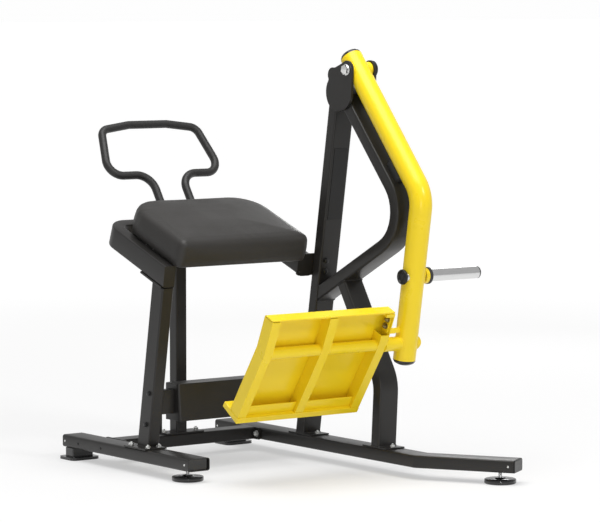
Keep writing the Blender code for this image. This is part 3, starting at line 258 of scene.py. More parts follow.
def openEdit(piece):
    pick(piece)
    bpy.ops.object.mode_set(mode="EDIT")
    bpy.ops.mesh.select_mode(type="VERT")
    bpy.ops.mesh.select_all(action="SELECT")


def closeEdit():
    bpy.ops.object.mode_set(mode="OBJECT")


def facing(side, base, axis):
    # axes that put a piece drawn along +Z at base, along axis, with its X along side
    depth = axis.normalized()
    if abs(side.normalized().dot(depth)) > 0.99:
        side = upward if abs(depth.z) < 0.5 else across
    first = (side - depth * side.dot(depth)).normalized()
    second = depth.cross(first)
    turn = Matrix((first, second, depth)).transposed().to_4x4()
    return Matrix.Translation(base) @ turn


def fixPlace(piece):
    pick(piece)
    bpy.ops.object.transform_apply(location=True, rotation=True, scale=True)


def put(piece, matrix):
    piece.matrix_world = matrix
    fixPlace(piece)


def applied(piece, kind, **values):
    pick(piece)
    modifier = piece.modifiers.new("step", kind)
    for key, value in values.items():
        setattr(modifier, key, value)
    bpy.ops.object.modifier_apply(modifier="step")


def easeEdges(piece, width, segments):
    applied(piece, "BEVEL", width=width, segments=segments, limit_method="ANGLE", angle_limit=math.radians(40))


def smooth(piece, angle=38):
    pick(piece)
    bpy.ops.object.shade_smooth_by_angle(angle=math.radians(angle))


def closeUp(piece):
    # joins loose corners, fills what is open and turns the faces outwards
    openEdit(piece)
    bpy.ops.mesh.remove_doubles(threshold=joinWithin)
    bpy.ops.mesh.fill_holes(sides=0)
    bpy.ops.mesh.select_all(action="SELECT")
    bpy.ops.mesh.normals_make_consistent(inside=False)
    closeEdit()


def finishPiece(piece, material, body, slotName, stands=()):
    piece.data.materials.clear()
    piece.data.materials.append(material)
    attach(piece, body)
    if stands:
        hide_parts(*stands)


def turnedPiece(name, base, axis, stations, sides):
    # one circle carried from station to station: (height, radius)
    clearSelection()
    height, radius = stations[0]
    bpy.ops.mesh.primitive_circle_add(vertices=sides, radius=radius, location=(0, 0, height), fill_type="NOTHING")
    piece = bpy.context.object
    piece.name = name
    openEdit(piece)
    for nextHeight, nextRadius in stations[1:]:
        bpy.ops.mesh.extrude_edges_move(TRANSFORM_OT_translate={"value": (0, 0, nextHeight - height)})
        share = nextRadius / radius
        bpy.ops.transform.resize(value=(share, share, 1), center_override=(0, 0, nextHeight))
        height, radius = nextHeight, nextRadius
    closeEdit()
    closeUp(piece)
    put(piece, facing(across, base, axis) @ piece.matrix_world)
    smooth(piece)
    return piece


def bendPlan(corners, radii):
    # straight runs and turns between the corners of a bent tube
    plan, spot = [], corners[0]
    for before, corner, after, radius in zip(corners, corners[1:], corners[2:], radii):
        back, ahead = (before - corner).normalized(), (after - corner).normalized()
        half = back.angle(ahead) / 2
        reach = radius / math.tan(half)
        centre = corner + (back + ahead).normalized() * (radius / math.sin(half))
        start = corner + back * reach
        plan.append(("run", start - spot))
        plan.append(("turn", centre, (-back).cross(ahead).normalized(), math.pi - 2 * half))
        spot = corner + ahead * reach
    plan.append(("run", corners[-1] - spot))
    return plan


def roundedPlate(width, depth, corner, segments):
    # a flat rectangle with rounded corners, open for editing
    clearSelection()
    bpy.ops.mesh.primitive_plane_add(size=1)
    plate = bpy.context.object
    plate.scale = (width, depth, 1)
    fixPlace(plate)
    openEdit(plate)
    bpy.ops.mesh.bevel(offset=corner, segments=segments, affect="VERTICES")
    bpy.ops.mesh.select_all(action="SELECT")
    return plate


def bentTube(name, corners, radii, section, side, turnStep):
    # section is a radius for round tube, or (width along side, depth, corner radius)
    first = (corners[1] - corners[0]).normalized()
    if isinstance(section, tuple):
        piece = roundedPlate(*section, 6)
        bpy.ops.mesh.delete(type="ONLY_FACE")
        closeEdit()
    else:
        clearSelection()
        bpy.ops.mesh.primitive_circle_add(vertices=40, radius=section, fill_type="NOTHING")
        piece = bpy.context.object
    piece.name = name
    put(piece, facing(side, corners[0], first))
    openEdit(piece)
    for move in bendPlan(corners, radii):
        if move[0] == "run":
            bpy.ops.mesh.extrude_edges_move(TRANSFORM_OT_translate={"value": tuple(move[1])})
        else:
            centre, axis, angle = move[1:]
            steps = max(3, round(math.degrees(angle) / turnStep))
            bpy.ops.mesh.spin(steps=steps, angle=-angle, center=tuple(centre), axis=tuple(axis))
    closeEdit()
    closeUp(piece)
    return piece


def trim(piece, point, outward):
    # saws the piece off flat: what lies on the outward side goes
    openEdit(piece)
    bpy.ops.mesh.bisect(plane_co=tuple(point), plane_no=tuple(outward), use_fill=True, clear_outer=True)
    closeEdit()
    closeUp(piece)


def placeCopy(piece, name, matrix):
    twin = piece.copy()
    twin.data = piece.data.copy()
    twin.name = name
    bpy.context.collection.objects.link(twin)
    put(twin, matrix)
    return twin


weldSize = {"box": 0.0026, "pipe": 0.0022, "spacing": 0.006, "poolGrain": 0.004, "poolDepth": 0.6,
            "ringSteps": 40, "saddleSteps": 56}


def weldBead(name, points, radius, *finish):
    # a laid bead of weld round a loop of points, with the ripple of each pool
    clearSelection()
    bpy.ops.curve.primitive_nurbs_path_add()
    line = bpy.context.object
    line.name = name
    line.data.splines.clear()
    spline = line.data.splines.new("POLY")
    spline.points.add(len(points) - 1)
    for spot, target in zip(spline.points, points):
        spot.co = (*target, 1)
    spline.use_cyclic_u = True
    line.data.dimensions = "3D"
    line.data.bevel_depth = radius
    line.data.bevel_resolution = 2
    bpy.ops.object.convert(target="MESH")
    bead = bpy.context.object
    pools = bpy.data.textures.new(name + "Pools", "CLOUDS")
    pools.noise_scale = weldSize["poolGrain"]
    applied(bead, "DISPLACE", texture=pools, strength=radius * weldSize["poolDepth"], mid_level=0.5,
            texture_coords="LOCAL")
    smooth(bead, 80)
    finishPiece(bead, *finish)


def boxLoop(centre, u, v, width, depth, corner):
    # points round a rounded rectangle, close enough together for a rippled bead
    straight = []
    for turn, (su, sv) in enumerate(((1, 1), (-1, 1), (-1, -1), (1, -1))):
        mid = Vector((su * (width / 2 - corner), sv * (depth / 2 - corner)))
        for step in range(5):
            angle = math.pi / 2 * (turn + step / 4)
            straight.append(mid + Vector((math.cos(angle), math.sin(angle))) * corner)
    points = []
    for here, there in zip(straight, straight[1:] + straight[:1]):
        count = max(1, round((there - here).length / weldSize["spacing"]))
        points += [here.lerp(there, share / count) for share in range(count)]
    return [centre + u * p.x + v * p.y for p in points]


def makeShadeNodes():
    # drops the normals that the solids bring along, so that they shade smooth
    group = bpy.data.node_groups.new("plainNormals", "GeometryNodeTree")
    group.interface.new_socket(name="Geometry", in_out="INPUT", socket_type="NodeSocketGeometry")
    group.interface.new_socket(name="Geometry", in_out="OUTPUT", socket_type="NodeSocketGeometry")
    goes, comes = group.nodes.new("NodeGroupInput"), group.nodes.new("NodeGroupOutput")
    normals = group.nodes.new("GeometryNodeSetMeshNormal")
    normals.mode = "SHARPNESS"
    normals.inputs["Remove Custom"].default_value = True
    normals.inputs["Edge Sharpness"].default_value = False
    normals.inputs["Face Sharpness"].default_value = False
    wire(group, (goes, 0, normals, "Mesh"), (normals, "Mesh", comes, 0))
    return group


plainNormals = makeShadeNodes()

# Carried-over solids by their coat and the width that their edges are eased by: at 0 they stay crisp.
carriedFinish = {
    "left_base_rail main_base_rail main_brace": (frameCoat, 0.0),
    "seat_post rear_column main_upright curved_leg toe_board": (frameCoat, 0.0008),
    "front_pad_strap rear_pad_strap": (frameCoat, 0.0008),
    "base_cross_beam toe_board_left_bracket toe_board_right_bracket seat_frame_flange": (frameCoat, 0.0010),
    "left_fork_plate right_fork_plate": (frameCoat, 0.0014),
    "lever_top_cap lever_bottom_cap": (glossPlastic, 0.0),
    "left_rail_front_cap left_rear_foot main_rear_foot": (glossPlastic, 0.0012),
    "pivot_end_disc": (capPlastic, 0.0),
    "left_rail_rear_cap main_rail_front_cap main_rail_rear_cap": (capPlastic, 0.0012),
    "horn_ring": (stopRubber, 0.0),
    "stop_bumper": (stopRubber, 0.0020),
    "pad_board": (plyBoard, 0.0008),
    "left_pivot_bush right_pivot_bush": (turnedBronze, 0.0004),
    "foot_shaft": (drawnSteel, 0.0),
    "left_mid_tube right_mid_tube foot_shaft_cap": (yellowCoat, 0.0),
    "pivot_hub horn_collar lower_hub": (yellowCoat, 0.0008),
    "left_rib centre_rib right_rib stop_fingers corner_bracket": (yellowCoat, 0.0008),
    "stop_lug foot_skin foot_ledge": (yellowCoat, 0.0010)}
carriedEdges = {"join": 0.00001, "easeAbove": 40, "crispAbove": 34, "crispMitre": 28}  # metres, then degrees


def dressCarried(name, material, ease):
    solid = nodes[name]
    solid.data.materials.clear()
    solid.data.materials.append(material)
    weld = solid.modifiers.new("join", "WELD")
    weld.merge_threshold = carriedEdges["join"]
    if ease:
        bevel = solid.modifiers.new("ease", "BEVEL")
        bevel.width, bevel.segments = ease, 2
        bevel.limit_method, bevel.angle_limit = "ANGLE", math.radians(carriedEdges["easeAbove"])
    plain = solid.modifiers.new("plain", "NODES")
    plain.node_group = plainNormals
    if ease:
        even = solid.modifiers.new("even", "WEIGHTED_NORMAL")
        even.keep_sharp = True
        even.weight = 100
    else:
        split = solid.modifiers.new("crisp", "EDGE_SPLIT")
        split.split_angle = math.radians(carriedEdges["crispMitre" if name == "main_base_rail" else "crispAbove"])
        split.use_edge_sharp = False


for names, (coat, ease) in carriedFinish.items():
    for nodeName in names.split():
        dressCarried(nodeName, coat, ease)
print("carried-over solids dressed")


padShape = {"shrink": 0.0008, "voxel": 0.0060, "pressure": 1.6, "frames": 16, "cap": 0.0035,
            "stretching": 60, "bending": 40, "still": 0.004, "flatBelow": 0.018, "base": 0.0402, "stretch": 1.021,
            "rightEdge": -0.0885}


def makePad():
    source = nodes["pad_cushion"]
    pad = source.copy()
    pad.data = source.data.copy()
    pad.name = "padCushion"
    pad.modifiers.clear()
    pad.parent = None
    bpy.context.collection.objects.link(pad)
    closeUp(pad)
    if pad.data.has_custom_normals:
        bpy.ops.mesh.customdata_custom_splitnormals_clear()
    applied(pad, "DISPLACE", strength=-padShape["shrink"], mid_level=0.0)
    applied(pad, "REMESH", mode="VOXEL", voxel_size=padShape["voxel"])
    applied(pad, "SMOOTH", factor=0.5, iterations=2)
    before = [corner.co.copy() for corner in pad.data.vertices]
    inflatePad(pad, before)
    openEdit(pad)
    bpy.ops.transform.resize(value=(padShape["stretch"], 1, 1), center_override=at(padShape["rightEdge"], 0, 0))
    closeEdit()
    applied(pad, "SUBSURF", levels=1, render_levels=1)
    smooth(pad, 60)
    finishPiece(pad, padVinyl, "frame", "pad_cover", ["pad_cushion"])


def inflatePad(pad, before):
    cloth = pad.modifiers.new("blow", "CLOTH")
    cloth.settings.use_pressure = True
    cloth.settings.uniform_pressure_force = padShape["pressure"]
    cloth.settings.effector_weights.gravity = 0
    cloth.settings.tension_stiffness = padShape["stretching"]
    cloth.settings.compression_stiffness = padShape["stretching"]
    cloth.settings.bending_stiffness = padShape["bending"]
    scene = bpy.context.scene
    scene.frame_start, scene.frame_end = 1, padShape["frames"]
    for step in range(1, padShape["frames"] + 1):
        scene.frame_set(step)
    pick(pad)
    bpy.ops.object.modifier_apply(modifier="blow")
    scene.frame_set(1)
    root = seatSpot(0, 0, padShape["base"])
    for corner, was in zip(pad.data.vertices, before):
        move = corner.co - was
        height = (was - root).dot(seatUp)
        free = min(1.0, max(0.0, (height - padShape["still"]) / padShape["flatBelow"]))
        if move.length > padShape["cap"]:
            move *= padShape["cap"] / move.length
        corner.co = was + move * free
    applied(pad, "SMOOTH", factor=0.5, iterations=2)


makePad()
print("pad made")


handleShape = {"middle": (-0.377, 0.300, 0.990), "tilt": math.radians(34), "leg": 0.071, "root": -0.09,
               "low": 0.1245, "wide": 0.267, "shoulder": (0.222, 0.332), "top": (0.088, 0.3525),
               "bends": (0.068, 0.058, 0.042, 0.050), "radius": 0.0158}


def makeHandle():
    shape = handleShape
    slope = Vector((0, math.sin(shape["tilt"]), math.cos(shape["tilt"])))
    middle = at(*shape["middle"])

    def spot(u, v):
        return middle + across * u + slope * v

    half = [(shape["leg"], shape["root"]), (shape["leg"], shape["low"]), (shape["wide"], shape["low"]),
            shape["shoulder"], shape["top"]]
    corners = [spot(-u, v) for u, v in half] + [spot(u, v) for u, v in reversed(half)]
    radii = shape["bends"] + shape["bends"][::-1]
    handle = bentTube("handleLoop", corners, radii, shape["radius"], across.cross(slope), 4)
    trim(handle, seatSpot(0, 0, padShape["base"]), -seatUp)
    smooth(handle)
    finishPiece(handle, gripRubber, "frame", "black_rubber", ["handle_loop"])


seatShape = {"middle": -0.3735, "half": 0.3265, "end": -0.0075, "cross": 0.413, "bend": 0.062,
             "section": (0.080, 0.050, 0.006), "spare": 0.05, "rightRun": -0.30, "faceDepth": 0.0334}


def sawArm(tube, side, cut):
    # saws the front end off one arm only: 1 is the right arm, -1 the left
    middle = at(seatShape["middle"], 0, 0).x
    openEdit(tube)
    bpy.ops.mesh.select_all(action="DESELECT")
    closeEdit()
    for face in tube.data.polygons:
        face.select = (face.center.x - middle) * side > 0
    bpy.ops.object.mode_set(mode="EDIT")
    bpy.ops.mesh.select_mode(type="FACE")
    bpy.ops.mesh.bisect(plane_co=tuple(cut), plane_no=tuple(-leanFront), use_fill=True, clear_outer=True)
    closeEdit()


def makeSeatFrame():
    shape = seatShape
    left, right = shape["middle"] - shape["half"], shape["middle"] + shape["half"]
    corners = [seatSpot(left, shape["end"] - shape["spare"], 0), seatSpot(left, shape["cross"], 0),
               seatSpot(right, shape["cross"], 0), seatSpot(right, shape["rightRun"], 0)]
    tube = bentTube("seatTubes", corners, (shape["bend"], shape["bend"]), shape["section"], seatUp, 4)
    flange = at(mainRail, uprightY, plateTop) + leanFront * shape["faceDepth"]
    for side, cut in ((1, flange), (-1, seatSpot(left, shape["end"], 0))):
        sawArm(tube, side, cut)
    closeUp(tube)
    smooth(tube)
    finishPiece(tube, frameCoat, "frame", "frame_paint", ["seat_frame"])


leverShape = {"pivot": (mainRail, -0.338, 1.507), "apex": (mainRail, -0.730, 1.048),
              "bottom": (mainRail, -0.6263, 0.432), "above": 0.059, "bend": 0.125, "radius": 0.0425}
leverPivot, leverApex, leverBottom = (at(*leverShape[corner]) for corner in ("pivot", "apex", "bottom"))


def makeLever():
    shape = leverShape
    top = leverPivot + (leverPivot - leverApex).normalized() * shape["above"]
    lever = bentTube("leverTube", [top, leverApex, leverBottom], (shape["bend"],), shape["radius"], across, 3)
    smooth(lever)
    finishPiece(lever, yellowCoat, "swing_arm", "arm_paint", ["lever_tube"])


makeHandle()
makeLever()
makeSeatFrame()
print("bent tubes made")


levellerShape = {"left": (-0.705, -0.252), "main": (toeBend + toeWay * 0.309).to_2d(), "radius": 0.0595,
                 "height": 0.023, "stud": 0.0068, "studTop": 0.074, "studLow": 0.010, "threadLow": 0.0005,
                 "threadTop": 0.044, "pitch": 0.0017, "groove": 0.0007, "ease": 0.0002,
                 "foot": ((0.0, 0.0075), (0.0006, 0.0040), (0.0026, 0.0008), (0.0050, 0.0)),  # up, in from radius
                 "rim": ((0.0085, 0.0), (0.0060, 0.0010), (0.0048, 0.0035)),  # down from top, in from radius
                 "boss": ((0.0046, 0.0260), (0.0038, 0.0225), (0.0008, 0.0180), (0.0, 0.0165), (0.0, 0.0100))}


def makeLeveller(sideName):
    shape = levellerShape
    x, y = shape[sideName]
    base = at(x, y, drawingZero.z)
    radius, height = shape["radius"], shape["height"]
    stations = [(up, radius - inset) for up, inset in shape["foot"]]
    stations += [(height - down, radius - inset) for down, inset in shape["rim"]]
    stations += [(height - down, reach) for down, reach in shape["boss"]]
    disc = turnedPiece(sideName + "LevellerDisc", base, upward, stations, sides=72)
    body = sideName + "_leveller"
    finishPiece(disc, glossPlastic, body, "black_rubber", [body + "_disc"])
    top = at(x, y, shape["studTop"]).z - base.z
    crest, groove = shape["stud"], shape["groove"]
    thread, level = [(height - shape["studLow"], crest)], height + shape["threadLow"]
    while level < shape["threadTop"]:
        thread += [(level, crest), (level + groove, crest - groove), (level + groove * 2, crest)]
        level += shape["pitch"]
    thread += [(top, crest - shape["ease"])]
    stud = turnedPiece(sideName + "LevellerStud", base, upward, thread, sides=24)
    finishPiece(stud, brightChrome, body, "chrome", [body + "_stud"])


for sideName in ("left", "main"):
    makeLeveller(sideName)

hornShape = {"spot": (-0.6791, 0.7455), "start": -0.027, "length": 0.3583, "radius": 0.0235, "ease": 0.0006,
             "capLength": 0.0072, "startLip": 0.002, "endLip": 0.003, "core": 0.002,
             "rim": ((0.0, 0.002), (0.0002, 0.0004), (0.0016, 0.0), (0.0034, 0.0), (0.0052, 0.0010),
                     (0.0066, 0.0030), (0.0072, 0.0060), (0.0072, 0.0085), (0.0064, 0.0092)),  # up, in from radius
             "innerCap": ((-0.010, 0.019), (0.0002, 0.019), (0.0002, 0.0285), (0.0060, 0.0285), (0.0085, 0.0272),
                          (0.0096, 0.0250), (0.0096, 0.0215), (0.0070, 0.0195), (0.0045, 0.0180), (0.0045, 0.0110),
                          (0.0060, 0.0100), (0.0060, 0.002))}


def makeHorn():
    shape = hornShape
    base, radius = at(shape["start"], *shape["spot"]), shape["radius"]
    barrel = shape["length"] - shape["capLength"]
    stations = [(0.0, radius - shape["startLip"]), (0.0, radius), (barrel - shape["ease"], radius),
                (barrel, radius - shape["ease"]), (barrel, radius - shape["endLip"])]
    horn = turnedPiece("weightHorn", base, across, stations, sides=72)
    finishPiece(horn, brightChrome, "swing_arm", "chrome", ["weight_horn"])
    rim = [(barrel + up, radius - inset) for up, inset in shape["rim"]]
    endCap = turnedPiece("hornEndCap", base, across, rim + [(rim[-1][0], shape["core"])], sides=72)
    finishPiece(endCap, glossPlastic, "swing_arm", "chrome", ["horn_end_cap"])
    leftCap = turnedPiece("hornInnerCap", base, -across, shape["innerCap"], sides=64)
    finishPiece(leftCap, capPlastic, "swing_arm", "black_plastic", ["horn_left_cap"])


makeHorn()
print("levellers and horn made")


# Width across the flats, height of the head, radius and thickness of the washer, thread past the head.
boltSizes = {
    "basePlate": (0.017, 0.0072, 0.0115, 0.0018, 0.0042), "beamFlange": (0.019, 0.008, 0.0128, 0.0022, 0.0050),
    "toeBracket": (0.016, 0.0065, 0.0105, 0.0018, 0), "pivot": (0.0330, 0.0108, 0.0215, 0.0026, 0),
    "doubler": (0.019, 0.0070, 0.0130, 0.0018, 0.0040), "flange": (0.019, 0.0062, 0.0116, 0.0018, 0),
    "flangeNut": (0.017, 0.0085, 0.0105, 0.0016, 0.0050)}
# Lengths first, then shares of the width across the flats.
boltShape = {"edge": 0.0004, "skirtRise": 0.0005, "chamferDrop": 0.0012, "pitch": 0.0012, "bare": 0.0015,
             "taper": 0.0008, "skirt": 0.48, "chamfer": 0.465, "crown": 0.36, "crest": 0.30, "root": 0.265,
             "lead": 0.29, "point": 0.24}
boltTurn = {"step": 1.7, "rise": 0.3, "tooClose": 0.9}


def makeHexBolt(name, size):
    # washer, chamfered hexagon and the point of the thread, along +Z from the face they bear on
    flats, head, wide, thick, tip = size
    shape, edge = boltShape, boltShape["edge"]
    crest, crown = flats * shape["crest"], flats * shape["crown"]
    corner, top = flats / 2 / math.cos(math.pi / 6), thick + head
    parts = [turnedPiece(name + "Washer", Vector(), upward,
                         [(0, wide - edge), (edge, wide), (thick - edge, wide), (thick, wide - edge)], 40),
             turnedPiece(name + "Hex", Vector((0, 0, thick)), upward,
                         [(0, flats * shape["skirt"]), (shape["skirtRise"], corner),
                          (head - shape["chamferDrop"], corner), (head, flats * shape["chamfer"])], 6)]
    if tip:
        thread, level = [(0.0, crest)], top
        while level < top + tip - shape["bare"]:
            thread += [(level, crest), (level + shape["pitch"] / 2, flats * shape["root"])]
            level += shape["pitch"]
        thread += [(top + tip - shape["taper"], flats * shape["lead"]), (top + tip, flats * shape["point"])]
        parts.append(turnedPiece(name + "Thread", Vector(), upward, thread, 28))
    else:
        parts.append(turnedPiece(name + "Crown", Vector(), upward,
                                 [(0.0, crown), (top + edge / 2, crown), (top + edge * 1.5, crest)], 32))
    clearSelection()
    for part in parts:
        part.select_set(True)
    bpy.context.view_layer.objects.active = parts[0]
    bpy.ops.object.join()
    bolt = bpy.context.object
    bolt.name = name
    smooth(bolt, 30)
    return bolt


def placeBolts(kind, size, places, *finish):
    # each bolt of a kind stops at a turn of its own
    pattern = makeHexBolt(kind + "Pattern", boltSizes[size])
    for number, (spot, axis) in enumerate(places, 1):
        angle = number * boltTurn["step"]
        turn = Vector((math.cos(angle), math.sin(angle), boltTurn["rise"]))
        if abs(axis.normalized().dot(turn.normalized())) > boltTurn["tooClose"]:
            turn = upward
        twin = placeCopy(pattern, f"{kind}{number}", facing(turn, spot, axis))
        finishPiece(twin, *finish)
    bpy.data.objects.remove(pattern)


basePlaces = [(at(x, y, plateTop), upward) for x, y in (
    (-0.737, -0.036), (-0.688, -0.036), (-0.737, 0.077), (-0.688, 0.077), (-0.4405, 0.295), (-0.2900, 0.295),
    (mainRail, -0.084), (mainRail, 0.027), (mainRail, -0.555), (mainRail, -0.447))]
placeBolts("basePlateBolt", "basePlate", basePlaces, zincPlate, "frame", "zinc")

beamFlangeThick, beamPlaces = 0.0084, []
beamFace = railHalf + beamFlangeThick
for y in (0.240, 0.350):
    beamPlaces.append((at(mainRail - beamFace, y, railMid), -across))
    beamPlaces.append((at(leftRail + beamFace, y, railMid), across))
placeBolts("beamFlangeBolt", "beamFlange", beamPlaces, zincPlate, "frame", "zinc")

bracketPlaces = [(at(-0.7242, y, z), -across) for y, z in ((-0.0248, 0.2968), (-0.0038, 0.1777))]
placeBolts("toeBracketBolt", "toeBracket", bracketPlaces, blackOxide, "frame", "black_bolt")
print("bolts placed")


forkFace = -0.0334
pivotHead = makeHexBolt("pivotBolt", boltSizes["pivot"])
put(pivotHead, facing(Vector((0, 0.3, 1)), at(forkFace, *leverShape["pivot"][1:]), -across))
finishPiece(pivotHead, polishedZinc, "frame", "chrome", ["pivot_bolt"])

# The foot plate's outline from the side, and where its two bolts stand: down from its top, then back.
footTop, footBend, footJunction = at(0, -0.6683, 0.6417), at(0, -0.6163, 0.5227), at(0, -0.4499, 0.2775)
doublerFace, doublerSpots = -0.1012, ((0.040, 0.031), (0.068, 0.029))
plateDown = (footBend - footTop).normalized()
plateBack = Vector((0, plateDown.z, -plateDown.y))
doublerPlaces = [(footTop + across * doublerFace + plateDown * down + plateBack * back, -across)
                 for down, back in doublerSpots]
placeBolts("doublerBolt", "doubler", doublerPlaces, passivatedZinc, "foot_plate", "zinc")

ledgeShape = {"lip": 0.042, "thick": 0.004, "depth": 0.040, "ease": 0.0011, "gap": 0.001,
              "bays": ((-0.614, -0.391), (-0.353, -0.130))}


def makeLedgeLips():
    # the ledge's turned-up rear edge, between the ribs
    low = (footJunction - footBend).normalized()
    back = Vector((0, low.z, -low.y))
    for number, (first, last) in enumerate(ledgeShape["bays"], 1):
        clearSelection()
        bpy.ops.mesh.primitive_cube_add(size=1)
        lip = bpy.context.object
        lip.name = f"ledgeLip{number}"
        lip.scale = (last - first - ledgeShape["gap"], ledgeShape["thick"], ledgeShape["lip"])
        middle = footJunction - low * (ledgeShape["lip"] / 2) + back * ledgeShape["depth"]
        place = Vector((at((first + last) / 2, 0, 0).x, middle.y, middle.z))
        turn = Matrix((across, back, -low)).transposed().to_4x4()
        put(lip, Matrix.Translation(place) @ turn @ Matrix.Diagonal((*lip.scale, 1)))
        closeUp(lip)
        easeEdges(lip, ledgeShape["ease"], 3)
        smooth(lip, 30)
        finishPiece(lip, yellowCoat, "foot_plate", "arm_paint")


makeLedgeLips()

flangeShape = {"x": 0.004, "height": 0.751, "lifts": {"upper": 0.021, "lower": -0.021}}
uprightFace = at(mainRail, uprightY, uprightLow) - leanFront * uprightHalf


def flangeBoltSpot(lift):
    # where the bolt's line leaves the toe side of the upright
    middle = at(flangeShape["x"], 0, flangeShape["height"])
    reach = (uprightFace - middle).dot(leanFront) / leanFront.y
    return Vector((middle.x, middle.y + reach, middle.z)) + leanUp * lift


for label, lift in flangeShape["lifts"].items():
    bolt = makeHexBolt(label + "FlangeBolt", boltSizes["flange"])
    put(bolt, facing(across, flangeBoltSpot(lift), -leanFront))
    finishPiece(bolt, blackOxide, "frame", "black_bolt", [label + "_flange_bolt"])
nutReach = uprightHalf + seatShape["faceDepth"] + standOff
flangeNuts = [(flangeBoltSpot(lift) + leanFront * nutReach, leanFront) for lift in flangeShape["lifts"].values()]
placeBolts("flangeNut", "flangeNut", flangeNuts, blackOxide, "frame", "black_bolt")
print("pivot, ledge and flange done")


rivetShape = {"outline": ((-0.0010, 1.0), (0.0004, 1.0), (0.0014, 0.86), (0.0020, 0.55), (0.0019, 0.28),
                          (0.0012, 0.22)),  # height, share of the radius
              "radius": 0.0042, "plugRadius": 0.0062, "plugHeight": 0.060,
              "toe": 0.354, "left": (0.508, -0.310), "rear": 0.521, "plugs": (0.415, 0.256)}


def makeRivets(kind, places, radius, material, slotName):
    outline = [(height, radius * share) for height, share in rivetShape["outline"]]
    for number, (spot, axis) in enumerate(places, 1):
        rivet = turnedPiece(f"{kind}{number}", spot, axis, outline, 24)
        finishPiece(rivet, material, "frame", slotName)


toeEnd = at(*toeBend) + toeWay * rivetShape["toe"]
leftPlaces = [(at(leftRail + side * railHalf, y, railMid), across * side)
              for side in (-1, 1) for y in rivetShape["left"]]
toePlaces = [(toeEnd + toeSide * railHalf * side, toeSide * side) for side in (1, -1)]
rearPlaces = [(at(mainRail + side * railHalf, rivetShape["rear"], railMid), across * side) for side in (-1, 1)]
plugPlaces = [(at(leftRail - railHalf, y, rivetShape["plugHeight"]), -across) for y in rivetShape["plugs"]]
makeRivets("capRivet", leftPlaces + toePlaces + rearPlaces, rivetShape["radius"], zincPlate, "zinc")
makeRivets("railPlug", plugPlaces, rivetShape["plugRadius"], capPlastic, "black_plastic")

placardShape = {"width": 0.062, "corner": 0.003, "thick": 0.0013, "rim": 0.0022, "sunk": 0.0004, "ease": 0.0002,
                "lengthShare": 0.998}


def makePlacard():
    # blank plate with a raised thin rim
    shape = placardShape
    low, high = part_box("placard")
    middle = (low + high) / 2
    length = (high.z - low.z) / leanUp.z * shape["lengthShare"]
    plate = roundedPlate(shape["width"], length, shape["corner"], 4)
    plate.name = "placardPlate"
    bpy.ops.mesh.extrude_region_move(TRANSFORM_OT_translate={"value": (0, 0, shape["thick"])})
    bpy.ops.mesh.inset(thickness=shape["rim"])
    bpy.ops.mesh.extrude_region_move(TRANSFORM_OT_translate={"value": (0, 0, -shape["sunk"])})
    closeEdit()
    closeUp(plate)
    easeEdges(plate, shape["ease"], 1)
    foot = uprightFace - leanFront * standOff
    foot += leanUp * ((middle.z - foot.z) / leanUp.z)
    put(plate, facing(across, foot, -leanFront))
    smooth(plate, 30)
    finishPiece(plate, capPlastic, "frame", "black_plastic", ["placard"])


makePlacard()


def meet(point, way, face, normal):
    # where the line from point along way goes through a flat face
    return point + way * ((face - point).dot(normal) / way.dot(normal))


braceShape = {"low": (mainRail, -0.2775, 0.7158), "high": (mainRail, -0.7024, 0.9369), "half": 0.0252}
legShape = {"spot": (mainRail, -0.5167, 0.3371), "lean": math.radians(32.2)}


def rimWelds():
    # where box tubes stand on their plates and meet each other
    along = Vector((0, 1, 0))
    low, high = at(*braceShape["low"]), at(*braceShape["high"])
    braceWay = (low - high).normalized()
    braceUp = Vector((0, -braceWay.z, braceWay.y))
    legWay = Vector((0, math.sin(legShape["lean"]), math.cos(legShape["lean"])))
    braceFoot = meet(low, braceWay, uprightFace, leanFront)
    legTop = meet(at(*legShape["spot"]), legWay, high - braceUp * braceShape["half"], braceUp)
    flangeFace = at(mainRail, uprightY, plateTop) + leanFront * (seatShape["faceDepth"] + standOff * 2)
    armEnd = meet(seatSpot(seatShape["middle"] + seatShape["half"], 0, 0), seatAlong, flangeFace, leanFront)
    beadLevel = plateTop + standOff
    # name, middle, the second way across, width, depth, corner
    places = [
        ("uprightFoot", at(mainRail, uprightY, beadLevel), along, 0.088, 0.0507, 0.008),
        ("legFoot", at(mainRail, -0.501, beadLevel), along, 0.088, 0.050, 0.008),
        ("postFoot", at(-0.699, 0.0203, beadLevel), along, 0.050, 0.0760, 0.006),
        ("columnFoot", at(-0.3785, 0.286, beadLevel), along, 0.050, 0.050, 0.006),
        ("braceFoot", braceFoot, leanUp, 0.088, 0.050 / braceWay.dot(leanFront), 0.006),
        ("legTop", legTop, braceWay, 0.088, 0.050, 0.006),
        ("seatArm", armEnd, leanUp, 0.050, 0.080 / seatAlong.dot(leanFront), 0.006)]
    for name, centre, v, width, depth, corner in places:
        loop = boxLoop(centre, across, v, width, depth, corner)
        weldBead(name + "Weld", loop, weldSize["box"], frameCoat, "frame", "frame_paint")


def ringWeld(name, centre, u, v, *finish):
    # round a pipe where it meets a flat face; u and v are the ring's two half axes
    steps = weldSize["ringSteps"]
    turns = [2 * math.pi * step / steps for step in range(steps)]
    points = [centre + u * math.cos(turn) + v * math.sin(turn) for turn in turns]
    weldBead(name, points, weldSize["pipe"], *finish)


hingeSpot, midTubeRadius = (-0.6372, 0.4940), 0.0215
hubRadii = {"pivot": 0.0280, "horn": 0.0300, "hinge": 0.0275}


